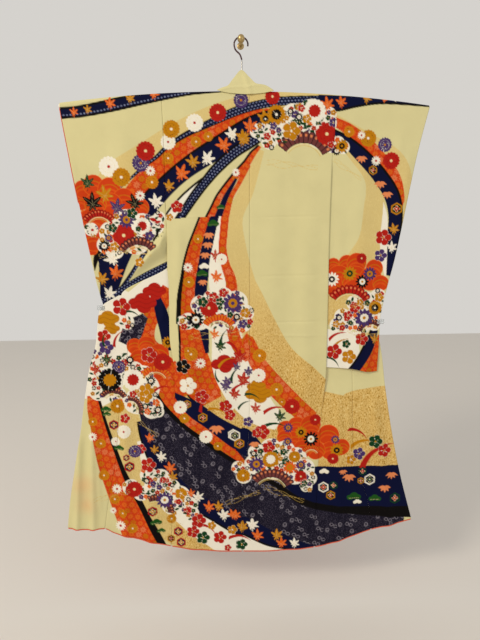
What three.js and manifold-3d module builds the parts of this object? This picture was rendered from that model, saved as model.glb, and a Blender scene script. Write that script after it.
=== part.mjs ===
// A furisode kimono hung flat on a bar hanger from a brass wall hook, its back to the room.
// Millimetres, +Z up, +X to the right as seen from the room, +Y into the wall.
// The wall's face is y = 0 and the origin is the middle of the wall hook's plate on it.
import * as THREE from 'three';
import { mergeVertices } from 'three/addons/utils/BufferGeometryUtils.js';
import Module from 'manifold-3d';

const wasm = await Module();
wasm.setup();

// ---------------------------------------------------------------- driving dimensions
const CLOTH = 1.6;            // lined crepe, face cloth and lining together
const SEAM_GAP = 0.3;         // between two pieces sewn edge to edge
const BAR_RADIUS = 9;         // the hanger's bar
const BAR_OUT = 28;           // the bar's axis off the wall
const HEM_OUT = 12;           // the hem off the wall
const SHOULDER_Z = -158;      // the shoulder fold at the neck
const SHOULDER_DROOP = 1.05e-4; // droop of the bar, per mm of x squared
const BODY_LENGTH = 1687;     // shoulder fold to hem at the centre of the back
const WRAP = BAR_RADIUS + SEAM_GAP + CLOTH; // outer radius of the cloth over the bar
const WRAP_FADE = 450;        // below the bar, over which the two halves come together
const BACK_LIFT = 4;          // the back's side edges lie this far over the sleeves
const SLEEVE_PLY = 3;         // from the sleeve's outer layer to its inner one
const FRONT_UNDER = { left: 4, right: 6 };  // the fronts lie this far under the hanging plane
const TUCK = 8.5;             // how deep the left sleeve goes where it passes behind the front
const BACK_EDGES = { middle: 24, from: 120, over: 120 }; // how far from the middle the back lifts
const UNDERLAP = 12;          // how far a sleeve reaches under the back's edge, where it isn't sewn
const SIDE_SEAM = 0.8;        // between front and back, below the sleeve
const NECK = { left: -82, right: 109, side: 30 };
const NECK_SCOOP = 0.42;      // radians of the bar that the neck's opening leaves bare
const COLLAR_WIDE = 55;
const FUKI = { high: 4, thick: 3, below: 0.6, inset: 0.4 }; // the lining's roll under the hem

// Where the cloth goes from one state to the next on its way down: a height, and the length it takes.
const CHANGE = {
  sleeveUnsewn: { left: { z: -540, over: 80 }, right: { z: -370, over: 80 } },
  sleeveUnderlaps: { left: { z: -610, over: 60 }, right: { z: -440, over: 60 } },
  sleeveTucks: { z: -600, over: 80 },
  frontFolds: { z: -840, over: 60 },
  frontComesLevel: { z: -1150, over: 150 },
  frontMeetsSeam: { z: -1150, over: 80 },
};

const COLOURS = {
  cream: 0xd8d294, lining: 0xc8472a, brass: 0xb99a5b, coating: 0x331018, steel: 0xc9c9c6,
  bar: 0xe6e0d2, clear: 0xdfe6e8,
};

// ---------------------------------------------------------------- edges and seams
// Each edge gives the x of a cut edge or seam at rising depth below the hook.
const EDGES = {
  centreBack: [
    { z: -158, x: 28 }, { z: -610, x: 26 }, { z: -1276, x: 20 }, { z: -1660, x: -7 }, { z: -1850, x: -11 },
  ],
  backLeft: [
    { z: -158, x: -273 }, { z: -340, x: -270 }, { z: -552, x: -270.5 }, { z: -625, x: -267 },
    { z: -757, x: -269 }, { z: -828, x: -266 }, { z: -1000, x: -268 }, { z: -1140, x: -254 },
    { z: -1263, x: -255 }, { z: -1426, x: -265 }, { z: -1619, x: -274 }, { z: -1850, x: -286 },
  ],
  backRight: [
    { z: -158, x: 323 }, { z: -287, x: 325 }, { z: -391, x: 317 }, { z: -611, x: 311 },
    { z: -1136, x: 305 }, { z: -1310, x: 291 }, { z: -1686, x: 272 }, { z: -1850, x: 268 },
  ],
  cuffLeft: [
    { z: -190, x: -616 }, { z: -244, x: -610 }, { z: -318, x: -600 }, { z: -452, x: -580 },
    { z: -588, x: -558 }, { z: -733, x: -533 }, { z: -864, x: -509 }, { z: -890, x: -502 },
    { z: -1000, x: -488 }, { z: -1150, x: -470 },
  ],
  cuffRight: [
    { z: -190, x: 659 }, { z: -285, x: 637 }, { z: -375, x: 617 }, { z: -470, x: 599 },
    { z: -602, x: 575 }, { z: -736, x: 548 }, { z: -825, x: 526 }, { z: -911, x: 509 },
    { z: -962, x: 502 }, { z: -1017, x: 501 }, { z: -1160, x: 495 },
  ],
  frontLeftOuter: [
    { z: -158, x: -268 }, { z: -520, x: -264 }, { z: -600, x: -240 }, { z: -725, x: -240 },
    { z: -757, x: -271 }, { z: -853, x: -436 }, { z: -980, x: -415 }, { z: -1240, x: -455 },
    { z: -1466, x: -480 }, { z: -1621, x: -513 }, { z: -1740, x: -533 },
  ],
  frontLeftInner: [
    { z: -158, x: -84 }, { z: -420, x: -120 }, { z: -700, x: -190 }, { z: -900, x: -228 },
    { z: -1150, x: -240 },
  ],
  okumiLeftEdge: [
    { z: -853, x: -446 }, { z: -887, x: -503 }, { z: -921, x: -520 }, { z: -1020, x: -533 },
    { z: -1123, x: -563 }, { z: -1227, x: -583 }, { z: -1366, x: -606 }, { z: -1492, x: -631 },
    { z: -1620, x: -656 }, { z: -1740, x: -672 },
  ],
  frontRightOuter: [
    { z: -158, x: 318 }, { z: -391, x: 312 }, { z: -760, x: 322 }, { z: -930, x: 402 },
    { z: -1100, x: 404 }, { z: -1238, x: 407 }, { z: -1408, x: 411 }, { z: -1702, x: 481 },
    { z: -1780, x: 489 },
  ],
  frontRightInner: [
    { z: -158, x: 111 }, { z: -420, x: 160 }, { z: -700, x: 235 }, { z: -900, x: 272 },
    { z: -1150, x: 290 },
  ],
  okumiRightEdge: [
    { z: -930, x: 420 }, { z: -990, x: 490 }, { z: -1091, x: 515 }, { z: -1213, x: 530 },
    { z: -1322, x: 547 }, { z: -1412, x: 564 }, { z: -1522, x: 588 }, { z: -1740, x: 647 },
  ],
};

// The hem and the lower edges, as the z that they reach at each x.
const LOWER_EDGES = {
  hem: [
    { x: -672, z: -1727 }, { x: -603, z: -1735 }, { x: -535, z: -1734 }, { x: -497, z: -1752 },
    { x: -409, z: -1779 }, { x: -319, z: -1804 }, { x: -251, z: -1819 }, { x: -91, z: -1839 },
    { x: 56, z: -1845 }, { x: 269, z: -1836 }, { x: 385, z: -1806 }, { x: 487, z: -1772 },
    { x: 562, z: -1755 }, { x: 647, z: -1734 },
  ],
  sleeveRight: [{ x: 285, z: -1127 }, { x: 396, z: -1136 }, { x: 470, z: -1149 }, { x: 496, z: -1147 }],
  sleeveLeft: [{ x: -500, z: -1135 }, { x: -250, z: -1120 }],
};

// Soft folds: a ridge from one point to another, with its rise and half width.
// One that runs out keeps its height to its lower end; the others fade at both ends.
const FOLDS = {
  back_left: [
    { x0: -60, z0: -300, x1: -95, z1: -1830, rise: 3, wide: 48, runsOut: true },
    { x0: -185, z0: -820, x1: -205, z1: -1815, rise: 5, wide: 34, runsOut: true },
    { x0: -225, z0: -560, x1: -236, z1: -1150, rise: 4, wide: 22, runsOut: false },
  ],
  back_right: [
    { x0: 115, z0: -340, x1: 90, z1: -1840, rise: 3, wide: 52, runsOut: true },
    { x0: 235, z0: -420, x1: 205, z1: -1835, rise: 4, wide: 36, runsOut: true },
  ],
  front_left: [
    { x0: -345, z0: -905, x1: -360, z1: -1790, rise: 6, wide: 26, runsOut: true },
    { x0: -440, z0: -1250, x1: -455, z1: -1765, rise: 5, wide: 20, runsOut: true },
    { x0: -292, z0: -830, x1: -290, z1: -960, rise: 5, wide: 12, runsOut: false },
    { x0: -480, z0: -893, x1: -300, z1: -1040, rise: 5, wide: 18, runsOut: false },
  ],
  okumi_left: [
    { x0: -605, z0: -1330, x1: -636, z1: -1732, rise: 6, wide: 13, runsOut: true },
    { x0: -560, z0: -1300, x1: -575, z1: -1735, rise: 7, wide: 15, runsOut: true },
  ],
  front_right: [
    { x0: 352, z0: -1170, x1: 362, z1: -1815, rise: 5, wide: 24, runsOut: true },
  ],
  okumi_right: [
    { x0: 470, z0: -1170, x1: 560, z1: -1752, rise: 5, wide: 22, runsOut: true },
  ],
  sleeve_left: [
    { x0: -598, z0: -330, x1: -515, z1: -850, rise: 3, wide: 16, runsOut: false },
    { x0: -488, z0: -845, x1: -330, z1: -520, rise: 5, wide: 20, runsOut: false },
    { x0: -400, z0: -230, x1: -440, z1: -640, rise: 4, wide: 46, runsOut: false },
  ],
  sleeve_right: [
    { x0: 430, z0: -260, x1: 415, z1: -1138, rise: 4, wide: 40, runsOut: true },
    { x0: 600, z0: -300, x1: 516, z1: -930, rise: 4, wide: 22, runsOut: false },
    { x0: 492, z0: -965, x1: 360, z1: -800, rise: 4, wide: 18, runsOut: false },
    { x0: 488, z0: -968, x1: 452, z1: -1140, rise: 4, wide: 14, runsOut: true },
  ],
};

// The left sleeve is drawn down to its clip in one strong roll, and passes behind the front there.
const DRAW_ROLL = {
  x0: -478, z0: -872, x1: -256, z1: -608, rise: 17, before: 46, after: 62, afterAtClip: 10,
  starts: { t: -0.05, over: 0.35 }, ends: { t: 1.12, over: 0.4 }, clearOfBack: { x: -268, over: 46 },
};
const TUCK_LINE = { x0: -503, z0: -887, x1: -271, z1: -755, lead: 20, innerLead: 60, ease: 60 };
const SEAM_FLAT = { from: 2, over: 30 };  // a sleeve's folds come up this far from the body's seam

// ---------------------------------------------------------------- small helpers
const clamp = (t) => Math.min(1, Math.max(0, t));
const mix = (a, b, t) => a + (b - a) * t;
const ease = (t) => clamp(t) ** 2 * (3 - 2 * clamp(t));
const past = (change, z) => ease((change.z - z) / change.over);

// A smooth curve through a table's rows that never overshoots them.
function through(rows, key, value) {
  const sign = Math.sign(rows[1][key] - rows[0][key]);
  const at = rows.map((row) => row[key] * sign);
  const to = rows.map((row) => row[value]);
  const slope = at.slice(1).map((a, i) => (to[i + 1] - to[i]) / (a - at[i]));
  const tangent = at.map((_, i) => {
    if (i === 0 || i === at.length - 1) return slope[Math.min(i, slope.length - 1)];
    const [before, after] = [slope[i - 1], slope[i]];
    return before * after <= 0 ? 0 : (2 * before * after) / (before + after);
  });
  return (x) => {
    const q = Math.min(at[at.length - 1], Math.max(at[0], x * sign));
    const i = Math.min(at.length - 2, Math.max(0, at.findIndex((a) => a >= q) - 1));
    const h = at[i + 1] - at[i];
    const t = (q - at[i]) / h;
    return to[i] * (1 + 2 * t) * (1 - t) ** 2 + to[i + 1] * t * t * (3 - 2 * t)
      + h * tangent[i] * t * (1 - t) ** 2 - h * tangent[i + 1] * t * t * (1 - t);
  };
}

const edge = Object.fromEntries(Object.entries(EDGES).map(([name, rows]) => [name, through(rows, 'z', 'x')]));
const lower = Object.fromEntries(
  Object.entries(LOWER_EDGES).map(([name, rows]) => [name, through(rows, 'x', 'z')]));

// Where a point lies along a line (0 to 1) and how far to its right side.
function along(line, x, z) {
  const [dx, dz] = [line.x1 - line.x0, line.z1 - line.z0];
  const length = Math.hypot(dx, dz);
  const t = ((x - line.x0) * dx + (z - line.z0) * dz) / length ** 2;
  const side = ((x - line.x0) * dz - (z - line.z0) * dx) / length;
  return { t, side };
}

// ---------------------------------------------------------------- how far off the wall the cloth hangs
const shoulder = (x) => SHOULDER_Z - SHOULDER_DROOP * x * x;
const barAxis = (x) => shoulder(x) - WRAP;
const hangingPlane = (x, z) => mix(BAR_OUT, HEM_OUT, (barAxis(x) - z) / BODY_LENGTH);
const below = (x, z) => (1 - clamp((barAxis(x) - z) / WRAP_FADE)) ** 2;

const FOLD_FADE = 0.25;       // the part of a fold's length over which it comes up or fades

function relief(folds, x, z) {
  return folds.reduce((sum, fold) => {
    const { t, side } = along(fold, x, z);
    const length = Math.hypot(fold.x1 - fold.x0, fold.z1 - fold.z0);
    const away = Math.hypot(side, Math.max(0, -t, t - 1) * length);
    const fade = ease(t / FOLD_FADE) * (fold.runsOut ? 1 : ease((1 - t) / FOLD_FADE));
    return sum + fold.rise * Math.exp(-((away / fold.wide) ** 2)) * fade;
  }, 0);
}

function backOut(node, x, z) {
  const overSleeve = past(CHANGE.sleeveUnsewn[x < BACK_EDGES.middle ? 'left' : 'right'], z)
    * (1 - past(CHANGE.frontComesLevel, z));
  const nearEdge = ease((Math.abs(x - BACK_EDGES.middle) - BACK_EDGES.from) / BACK_EDGES.over);
  return hangingPlane(x, z) + WRAP * below(x, z) + BACK_LIFT * overSleeve * nearEdge
    + relief(FOLDS[node], x, z);
}

// The wall side's layer: close under the bar at the top, and then this far under the hanging plane.
function wallSideOut(under, x, z) {
  return hangingPlane(x, z) - mix(under, WRAP - CLOTH, below(x, z));
}

function frontOut(side, node, x, z) {
  const under = FRONT_UNDER[side] * (1 - past(CHANGE.frontComesLevel, z));
  return wallSideOut(under, x, z) + relief(FOLDS[node] ?? [], x, z) * past(CHANGE.frontFolds, z);
}

function drawRoll(x, z) {
  const { t, side } = along(DRAW_ROLL, x, z);
  const { before, after, afterAtClip, starts, ends, clearOfBack } = DRAW_ROLL;
  const wide = side < 0 ? before : mix(afterAtClip, after, clamp(t));
  const fade = ease((t - starts.t) / starts.over) * ease((ends.t - t) / ends.over)
    * ease((clearOfBack.x - x) / clearOfBack.over);
  return DRAW_ROLL.rise * Math.exp(-((side / wide) ** 2)) * fade;
}

// How far the left sleeve has gone in behind the front, from 0 to 1.
function tucked(x, z, lead = TUCK_LINE.lead) {
  const { side } = along(TUCK_LINE, x, z);
  return (1 - ease((-side - lead) / TUCK_LINE.ease)) * past(CHANGE.sleeveTucks, z);
}

function sleeveOuterOut(side, x, z) {
  const flat = hangingPlane(x, z) + WRAP * below(x, z);
  const fromSeam = side === 'left' ? edge.backLeft(z) - x : x - edge.backRight(z);
  const folds = relief(FOLDS[`sleeve_${side}`], x, z) * ease((fromSeam - SEAM_FLAT.from) / SEAM_FLAT.over);
  if (side === 'right') return flat + folds;
  return mix(flat + folds + drawRoll(x, z), flat - TUCK, tucked(x, z));
}

function sleeveInnerOut(side, x, z) {
  const flat = wallSideOut(SLEEVE_PLY, x, z);
  return side === 'left' ? flat - TUCK * tucked(x, z, TUCK_LINE.innerLead) : flat;
}

// ---------------------------------------------------------------- solids
// A closed wall between a grid of face points and the same grid moved back by its thickness.
// at(u, j) gives a face point and the direction that the wall thickens in, for u of 0 to 1 across
// the columns and row j.
function wall(columns, rows, thickness, at) {
  const face = [];
  const rear = [];
  const index = (i, j) => j * (columns + 1) + i;
  for (let j = 0; j <= rows; j += 1) {
    for (let i = 0; i <= columns; i += 1) {
      const { point, into } = at(i / columns, j);
      face.push(point);
      rear.push(point.clone().addScaledVector(into, thickness));
    }
  }
  const shift = face.length;
  const triangles = [];
  const quad = (a, b, c, d) => triangles.push(a, b, c, a, c, d);
  for (let j = 0; j < rows; j += 1) {
    for (let i = 0; i < columns; i += 1) {
      const [a, b, c, d] = [index(i, j), index(i, j + 1), index(i + 1, j + 1), index(i + 1, j)];
      quad(a, b, c, d);
      quad(shift + d, shift + c, shift + b, shift + a);
    }
  }
  const rim = [];
  for (let j = 0; j < rows; j += 1) rim.push(index(0, j));
  for (let i = 0; i < columns; i += 1) rim.push(index(i, rows));
  for (let j = rows; j > 0; j -= 1) rim.push(index(columns, j));
  for (let i = columns; i > 0; i -= 1) rim.push(index(i, 0));
  rim.forEach((a, k) => {
    const b = rim[(k + 1) % rim.length];
    quad(b, a, shift + a, shift + b);
  });
  const geometry = new THREE.BufferGeometry();
  const points = [...face, ...rear].flatMap((p) => [p.x, p.y, p.z]);
  geometry.setAttribute('position', new THREE.Float32BufferAttribute(points, 3));
  geometry.setIndex(triangles);
  return geometry;
}

// The direction through the cloth, from the slope of its distance off the wall.
function throughCloth(out, x, z) {
  const step = 2;
  const slopeX = (out(x + step, z) - out(x - step, z)) / (2 * step);
  const slopeZ = (out(x, z + step) - out(x, z - step)) / (2 * step);
  return new THREE.Vector3(slopeX, 1, slopeZ).normalize();
}

// Rows are LEVEL apart down the cloth, on the same levels in every panel, so that two pieces sewn
// together have the same corners along their seam. The last third stretches to meet the lower edge.
// j may be a half row where a panel needs closer ones.
const LEVEL = 60;
const LAST_THIRD = { from: 0.66, over: 0.34 };
const rowZ = (x, j, count, bottom) => {
  const spare = barAxis(x) - bottom(x) - LEVEL * count;
  return barAxis(x) - LEVEL * j - spare * ease((j / count - LAST_THIRD.from) / LAST_THIRD.over);
};

function rowPoint(cut, u, j, count) {
  let z = barAxis(0) - LEVEL * j;
  let x = 0;
  for (let pass = 0; pass < 5; pass += 1) {
    x = mix(cut.left(z), cut.right(z), u);
    z = rowZ(x, j, count, cut.bottom);
  }
  return { point: new THREE.Vector3(x, -cut.out(x, z), z), into: throughCloth(cut.out, x, z) };
}

const WRAP_ROWS = 4;          // rows of the quarter turn over the bar
const WRAP_START = 0.03;      // radians off the top, so that the two halves stay apart

// A panel that hangs over the bar: a quarter turn round the bar, then down to its lower edge.
// layer is +1 for the room's side of the bar and -1 for the wall's side.
function overBar({ layer, columns, count, finer = 1, scoop = () => 0, ...cut }) {
  const radius = layer > 0 ? WRAP : WRAP - CLOTH;
  return wall(columns, WRAP_ROWS + count * finer, CLOTH, (u, j) => {
    if (j > WRAP_ROWS) return rowPoint(cut, u, (j - WRAP_ROWS) / finer, count);
    const level = barAxis(0);
    const x = mix(cut.left(level), cut.right(level), u);
    const angle = mix(WRAP_START + scoop(x), Math.PI / 2, j / WRAP_ROWS);
    const away = new THREE.Vector3(0, -layer * Math.sin(angle), Math.cos(angle));
    const point = new THREE.Vector3(x, -BAR_OUT, barAxis(x)).addScaledVector(away, radius);
    return { point, into: away.multiplyScalar(-layer) };
  });
}

// A panel that starts below the bar, at a level top, and joins the rows of its neighbour from there.
function hanging({ top, columns, first, count, finer = 1, ...cut }) {
  return wall(columns, (count - first) * finer + 1, CLOTH, (u, j) => {
    if (j > 0) return rowPoint(cut, u, first + (j - 1) / finer, count);
    const x = mix(cut.left(top), cut.right(top), u);
    return { point: new THREE.Vector3(x, -cut.out(x, top), top), into: throughCloth(cut.out, x, top) };
  });
}

const HEM_LEVEL = -1760;      // near enough to the hem to look up a panel's edges there

// A rolled strip under a panel's lower edge.
function roll({ left, right, bottom, out, steps }) {
  const atHem = (side) => side(bottom(side(HEM_LEVEL)));
  return wall(steps, 1, FUKI.thick, (u, j) => {
    const x = mix(atHem(left) + FUKI.inset, atHem(right) - FUKI.inset, u);
    const z = bottom(x) - FUKI.below - j * FUKI.high;
    const y = -(out(x, bottom(x)) + (FUKI.thick - CLOTH) / 2);
    return { point: new THREE.Vector3(x, y, z), into: new THREE.Vector3(0, 1, 0) };
  });
}

// A band of even width along a line, laid on the wall side of a panel.
function band(path, width, out, steps) {
  const curve = new THREE.CatmullRomCurve3(path.map(({ x, z }) => new THREE.Vector3(x, 0, z)), false,
    'centripetal');
  return wall(2, steps, CLOTH, (u, j) => {
    const centre = curve.getPointAt(j / steps);
    const run = curve.getTangentAt(j / steps);
    const x = centre.x - run.z * (u - 0.5) * width;
    const z = centre.z + run.x * (u - 0.5) * width;
    return { point: new THREE.Vector3(x, -out(x, z), z), into: throughCloth(out, x, z) };
  });
}

function tube(points, radius, sides, steps) {
  const path = new THREE.CatmullRomCurve3(points.map(([x, out, z]) => new THREE.Vector3(x, -out, z)), false,
    'centripetal');
  const section = new THREE.Shape();
  for (let k = 0; k < sides; k += 1) {
    const angle = (2 * Math.PI * k) / sides;
    const corner = [radius * Math.cos(angle), radius * Math.sin(angle)];
    if (k === 0) section.moveTo(...corner);
    else section.lineTo(...corner);
  }
  return new THREE.ExtrudeGeometry(section, { steps, extrudePath: path, bevelEnabled: false });
}

function solid(geometry) {
  const bare = geometry.clone();
  Object.keys(bare.attributes).filter((name) => name !== 'position').forEach((n) => bare.deleteAttribute(n));
  const merged = mergeVertices(bare, 1e-4);
  return new wasm.Manifold(new wasm.Mesh({
    numProp: 3,
    vertProperties: new Float32Array(merged.attributes.position.array),
    triVerts: new Uint32Array(merged.index.array),
  }));
}

function geometryOf(manifold) {
  const mesh = manifold.getMesh();
  const geometry = new THREE.BufferGeometry();
  geometry.setAttribute('position', new THREE.BufferAttribute(mesh.vertProperties, 3));
  geometry.setIndex(new THREE.BufferAttribute(mesh.triVerts, 1));
  return geometry;
}

// ---------------------------------------------------------------- the group
const kimono = new THREE.Group();

function add(name, geometry, colour, roughness = 0.7, metalness = 0) {
  const material = new THREE.MeshStandardMaterial({ color: colour, roughness, metalness });
  const mesh = new THREE.Mesh(geometry, material);
  mesh.name = name;
  kimono.add(mesh);
}

// ---------------------------------------------------------------- body
const BODY_ROWS = 28;
const SLEEVE_ROWS = 16;
const BACK_COLUMNS = 9;
const FRONT_COLUMNS = 7;
const OKUMI_COLUMNS = 5;
const shifted = (curve, by) => (z) => curve(z) + by;
const HALF_GAP = SEAM_GAP / 2;
const neckScoop = (x) => NECK_SCOOP * ease((x - NECK.left) / NECK.side) * ease((NECK.right - x) / NECK.side);

const BODY = {
  back_left: { left: shifted(edge.backLeft, HALF_GAP), right: shifted(edge.centreBack, -HALF_GAP) },
  back_right: { left: shifted(edge.centreBack, HALF_GAP), right: shifted(edge.backRight, -HALF_GAP) },
};
for (const [name, { left, right }] of Object.entries(BODY)) {
  const out = (x, z) => backOut(name, x, z);
  const cut = { left, right, bottom: lower.hem, out };
  add(name, overBar({ ...cut, layer: 1, columns: BACK_COLUMNS, count: BODY_ROWS, scoop: neckScoop }),
    COLOURS.cream);
  add(`fuki_${name}`, roll({ ...cut, steps: BACK_COLUMNS }), COLOURS.lining);
}

// Each front runs from its okumi seam to its inner edge, which joins the back's edge below the sleeve.
const toSeam = (free, seam) => (z) => mix(free(z), seam(z), past(CHANGE.frontMeetsSeam, z));
const FRONTS = {
  left: {
    front: { left: shifted(edge.frontLeftOuter, HALF_GAP),
      right: toSeam(edge.frontLeftInner, shifted(edge.backLeft, -SIDE_SEAM)) },
    okumi: { left: edge.okumiLeftEdge, right: shifted(edge.frontLeftOuter, -HALF_GAP),
      top: -853, first: 11.5 },
    finer: 2,
  },
  right: {
    front: { left: toSeam(edge.frontRightInner, shifted(edge.backRight, SIDE_SEAM)),
      right: shifted(edge.frontRightOuter, -HALF_GAP) },
    okumi: { left: shifted(edge.frontRightOuter, HALF_GAP), right: edge.okumiRightEdge,
      top: -930, first: 13 },
    finer: 1,
  },
};
for (const [side, { front, okumi, finer }] of Object.entries(FRONTS)) {
  const cutOf = (name, edges) => ({ ...edges, bottom: lower.hem, out: (x, z) => frontOut(side, name, x, z) });
  const frontCut = cutOf(`front_${side}`, front);
  const okumiCut = cutOf(`okumi_${side}`, okumi);
  add(`front_${side}`, overBar({ ...frontCut, layer: -1, columns: FRONT_COLUMNS, count: BODY_ROWS, finer }),
    COLOURS.cream);
  add(`okumi_${side}`, hanging({ ...okumiCut, columns: OKUMI_COLUMNS, count: BODY_ROWS, finer }),
    COLOURS.cream);
  add(`fuki_front_${side}`, roll({ ...frontCut, steps: FRONT_COLUMNS }), COLOURS.lining);
  add(`fuki_okumi_${side}`, roll({ ...okumiCut, steps: OKUMI_COLUMNS }), COLOURS.lining);
}

// ---------------------------------------------------------------- sleeves
const underlap = (side, z) => UNDERLAP * past(CHANGE.sleeveUnderlaps[side], z);
const SLEEVES = {
  left: {
    finer: 2,
    left: edge.cuffLeft,
    right: (z) => edge.backLeft(z) - HALF_GAP + underlap('left', z),
    bottom: lower.sleeveLeft,
  },
  right: {
    finer: 1,
    left: (z) => edge.backRight(z) + HALF_GAP - underlap('right', z),
    right: edge.cuffRight,
    bottom: lower.sleeveRight,
  },
};
for (const [side, cut] of Object.entries(SLEEVES)) {
  add(`sleeve_${side}_outer`, overBar({ ...cut, layer: 1, columns: 12, count: SLEEVE_ROWS,
    out: (x, z) => sleeveOuterOut(side, x, z) }), COLOURS.cream);
  add(`sleeve_${side}_inner`, overBar({ ...cut, layer: -1, columns: 8, count: SLEEVE_ROWS,
    out: (x, z) => sleeveInnerOut(side, x, z) }), COLOURS.cream);
}

// The lining's roll shows past the left cuff, from under the bar down to where the edge is sewn shut.
// It has a corner beside each of the sleeve's own, half a level apart.
const CUFF_ROLL = { first: 0.5, steps: 11, wide: 3, thick: 2.4 };
add('cuff_roll_left', wall(1, CUFF_ROLL.steps, CUFF_ROLL.thick, (u, j) => {
  const cut = { ...SLEEVES.left, out: (x, z) => sleeveOuterOut('left', x, z) };
  const { point } = rowPoint(cut, 0, CUFF_ROLL.first + j / SLEEVES.left.finer, SLEEVE_ROWS);
  point.x -= SEAM_GAP + (1 - u) * CUFF_ROLL.wide;
  return { point, into: new THREE.Vector3(0, 1, 0) };
}), COLOURS.lining);

// ---------------------------------------------------------------- collar
// The collar's back stands up round the hanger's stem in a peak, over a crescent on the back's top.
const COLLAR_TOP = [
  { x: -82, z: -157 }, { x: -66, z: -150 }, { x: -48, z: -144 }, { x: -27, z: -118 }, { x: 1, z: -90 },
  { x: 27, z: -113 }, { x: 52, z: -136 }, { x: 80, z: -141 }, { x: 109, z: -157 },
];
const COLLAR_FOOT = [
  { x: -82, z: -160 }, { x: -40, z: -168 }, { x: 15, z: -172 }, { x: 70, z: -168 }, { x: 109, z: -161 },
];
const collarTop = through(COLLAR_TOP, 'x', 'z');
const collarFoot = through(COLLAR_FOOT, 'x', 'z');
// Off the bar's axis at the foot and at the peak, and the rise of the fold that runs down from the peak.
const COLLAR_LAYERS = {
  outer: { foot: WRAP + 0.4 + CLOTH, peak: 4.6, fold: 2.2 },
  inner: { foot: -(WRAP + 0.4), peak: -2.35, fold: 0 },
};
const COLLAR_LEAN = { z: -152, over: 62 };
const PEAK_FOLD = { x: 24, z: -150, lean: 0.3, wide: 9, from: -96, over: 20 };
const COLLAR_ROWS = 4;
for (const [layer, { foot, peak, fold }] of Object.entries(COLLAR_LAYERS)) {
  const out = (x, z) => {
    const across = x - PEAK_FOLD.x + (z - PEAK_FOLD.z) * PEAK_FOLD.lean;
    return BAR_OUT + mix(foot, peak, ease((z - COLLAR_LEAN.z) / COLLAR_LEAN.over))
      + fold * Math.exp(-((across / PEAK_FOLD.wide) ** 2)) * ease((PEAK_FOLD.from - z) / PEAK_FOLD.over);
  };
  add(`collar_back_${layer}`, wall(18, COLLAR_ROWS, CLOTH, (u, j) => {
    const x = mix(NECK.left, NECK.right, u);
    const z = mix(collarTop(x), collarFoot(x), j / COLLAR_ROWS);
    return { point: new THREE.Vector3(x, -out(x, z), z), into: new THREE.Vector3(0, 1, 0) };
  }), COLOURS.cream);
}

// The collar's fronts run down from the neck on the wall side of the fronts, to where they swing out.
const COLLAR_PATHS = {
  left: [{ x: -82, z: -172 }, { x: -140, z: -450 }, { x: -196, z: -690 }, { x: -262, z: -786 },
    { x: -452, z: -893 }],
  right: [{ x: 110, z: -174 }, { x: 190, z: -420 }, { x: 285, z: -640 }, { x: 462, z: -962 }],
};
const COLLAR_OFF_FRONT = 0.5;
for (const [side, path] of Object.entries(COLLAR_PATHS)) {
  const out = (x, z) => frontOut(side, '', x, z) - CLOTH - COLLAR_OFF_FRONT;
  add(`collar_${side}`, band(path, COLLAR_WIDE, out, 22), COLOURS.cream);
}

// ---------------------------------------------------------------- hanger
const BAR_ENDS = { left: -621, right: 652 };
const BAR_STEPS = 14;
const barPoints = Array.from({ length: BAR_STEPS + 1 }, (_, k) => {
  const x = mix(BAR_ENDS.left, BAR_ENDS.right, k / BAR_STEPS);
  return [x, BAR_OUT, barAxis(x)];
});
add('hanger_bar', tube(barPoints, BAR_RADIUS, 10, 20), COLOURS.bar, 0.5);

const HUB = { x: 2, radius: 3.8, top: -140, bottom: -159.4 };
const hub = new THREE.CylinderGeometry(HUB.radius, HUB.radius, HUB.top - HUB.bottom, 12);
hub.rotateX(Math.PI / 2);
hub.translate(HUB.x, -BAR_OUT, (HUB.top + HUB.bottom) / 2);
add('hanger_hub', hub, COLOURS.bar, 0.5);

const STEM = { radius: 2, x: 3, top: -57 };
add('hanger_stem', tube([[HUB.x, BAR_OUT, HUB.top + SEAM_GAP], [HUB.x, BAR_OUT, -100],
  [STEM.x, BAR_OUT, STEM.top]],
  STEM.radius, 8, 5), COLOURS.steel, 0.3, 1);

const HOOK = { radius: 2.75, loop: 23.5, x: 0.5, z: -6 };
const loopPoints = [-15, 10, 40, 70, 100, 130, 160, 185].map((degrees) => {
  const angle = (degrees * Math.PI) / 180;
  return [HOOK.x + HOOK.loop * Math.cos(angle), BAR_OUT, HOOK.z + HOOK.loop * Math.sin(angle)];
});
const hookPoints = [...loopPoints, [-18, BAR_OUT, -24], [-4, BAR_OUT, -38], [STEM.x, BAR_OUT, STEM.top + 1.1]];
add('hanger_hook', tube(hookPoints, HOOK.radius, 8, 30), COLOURS.coating, 0.45);

// ---------------------------------------------------------------- wall hook
const PLATE = { radius: 12, thick: 4.5 };
const NECK_ROD = { radius: 3.5, seat: HOOK.z + HOOK.loop - HOOK.radius - 0.3 - 3.5 };
const KNOB = { radius: 12, stretch: 1.18, out: 43.5, z: 5.5 };
const plateProfile = [[0, 0], [PLATE.radius, 0], [PLATE.radius, 2.6], [9.5, PLATE.thick], [0, PLATE.thick]];
const plate = new THREE.LatheGeometry(plateProfile.map(([r, h]) => new THREE.Vector2(r, h)), 20);
plate.rotateX(Math.PI);
const neck = tube([[0, 2, 0], [0, 12, 3.4], [0, 21, NECK_ROD.seat - 1.4], [0, BAR_OUT, NECK_ROD.seat],
  [0, 38, NECK_ROD.seat - 1]], NECK_ROD.radius, 8, 8);
const knob = new THREE.SphereGeometry(KNOB.radius, 16, 10);
knob.rotateX(Math.PI / 2);
knob.scale(1, 1, KNOB.stretch);
knob.translate(0, -KNOB.out, KNOB.z);
add('wall_hook', geometryOf(solid(plate).add(solid(neck)).add(solid(knob))), COLOURS.brass, 0.3, 1);

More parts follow.
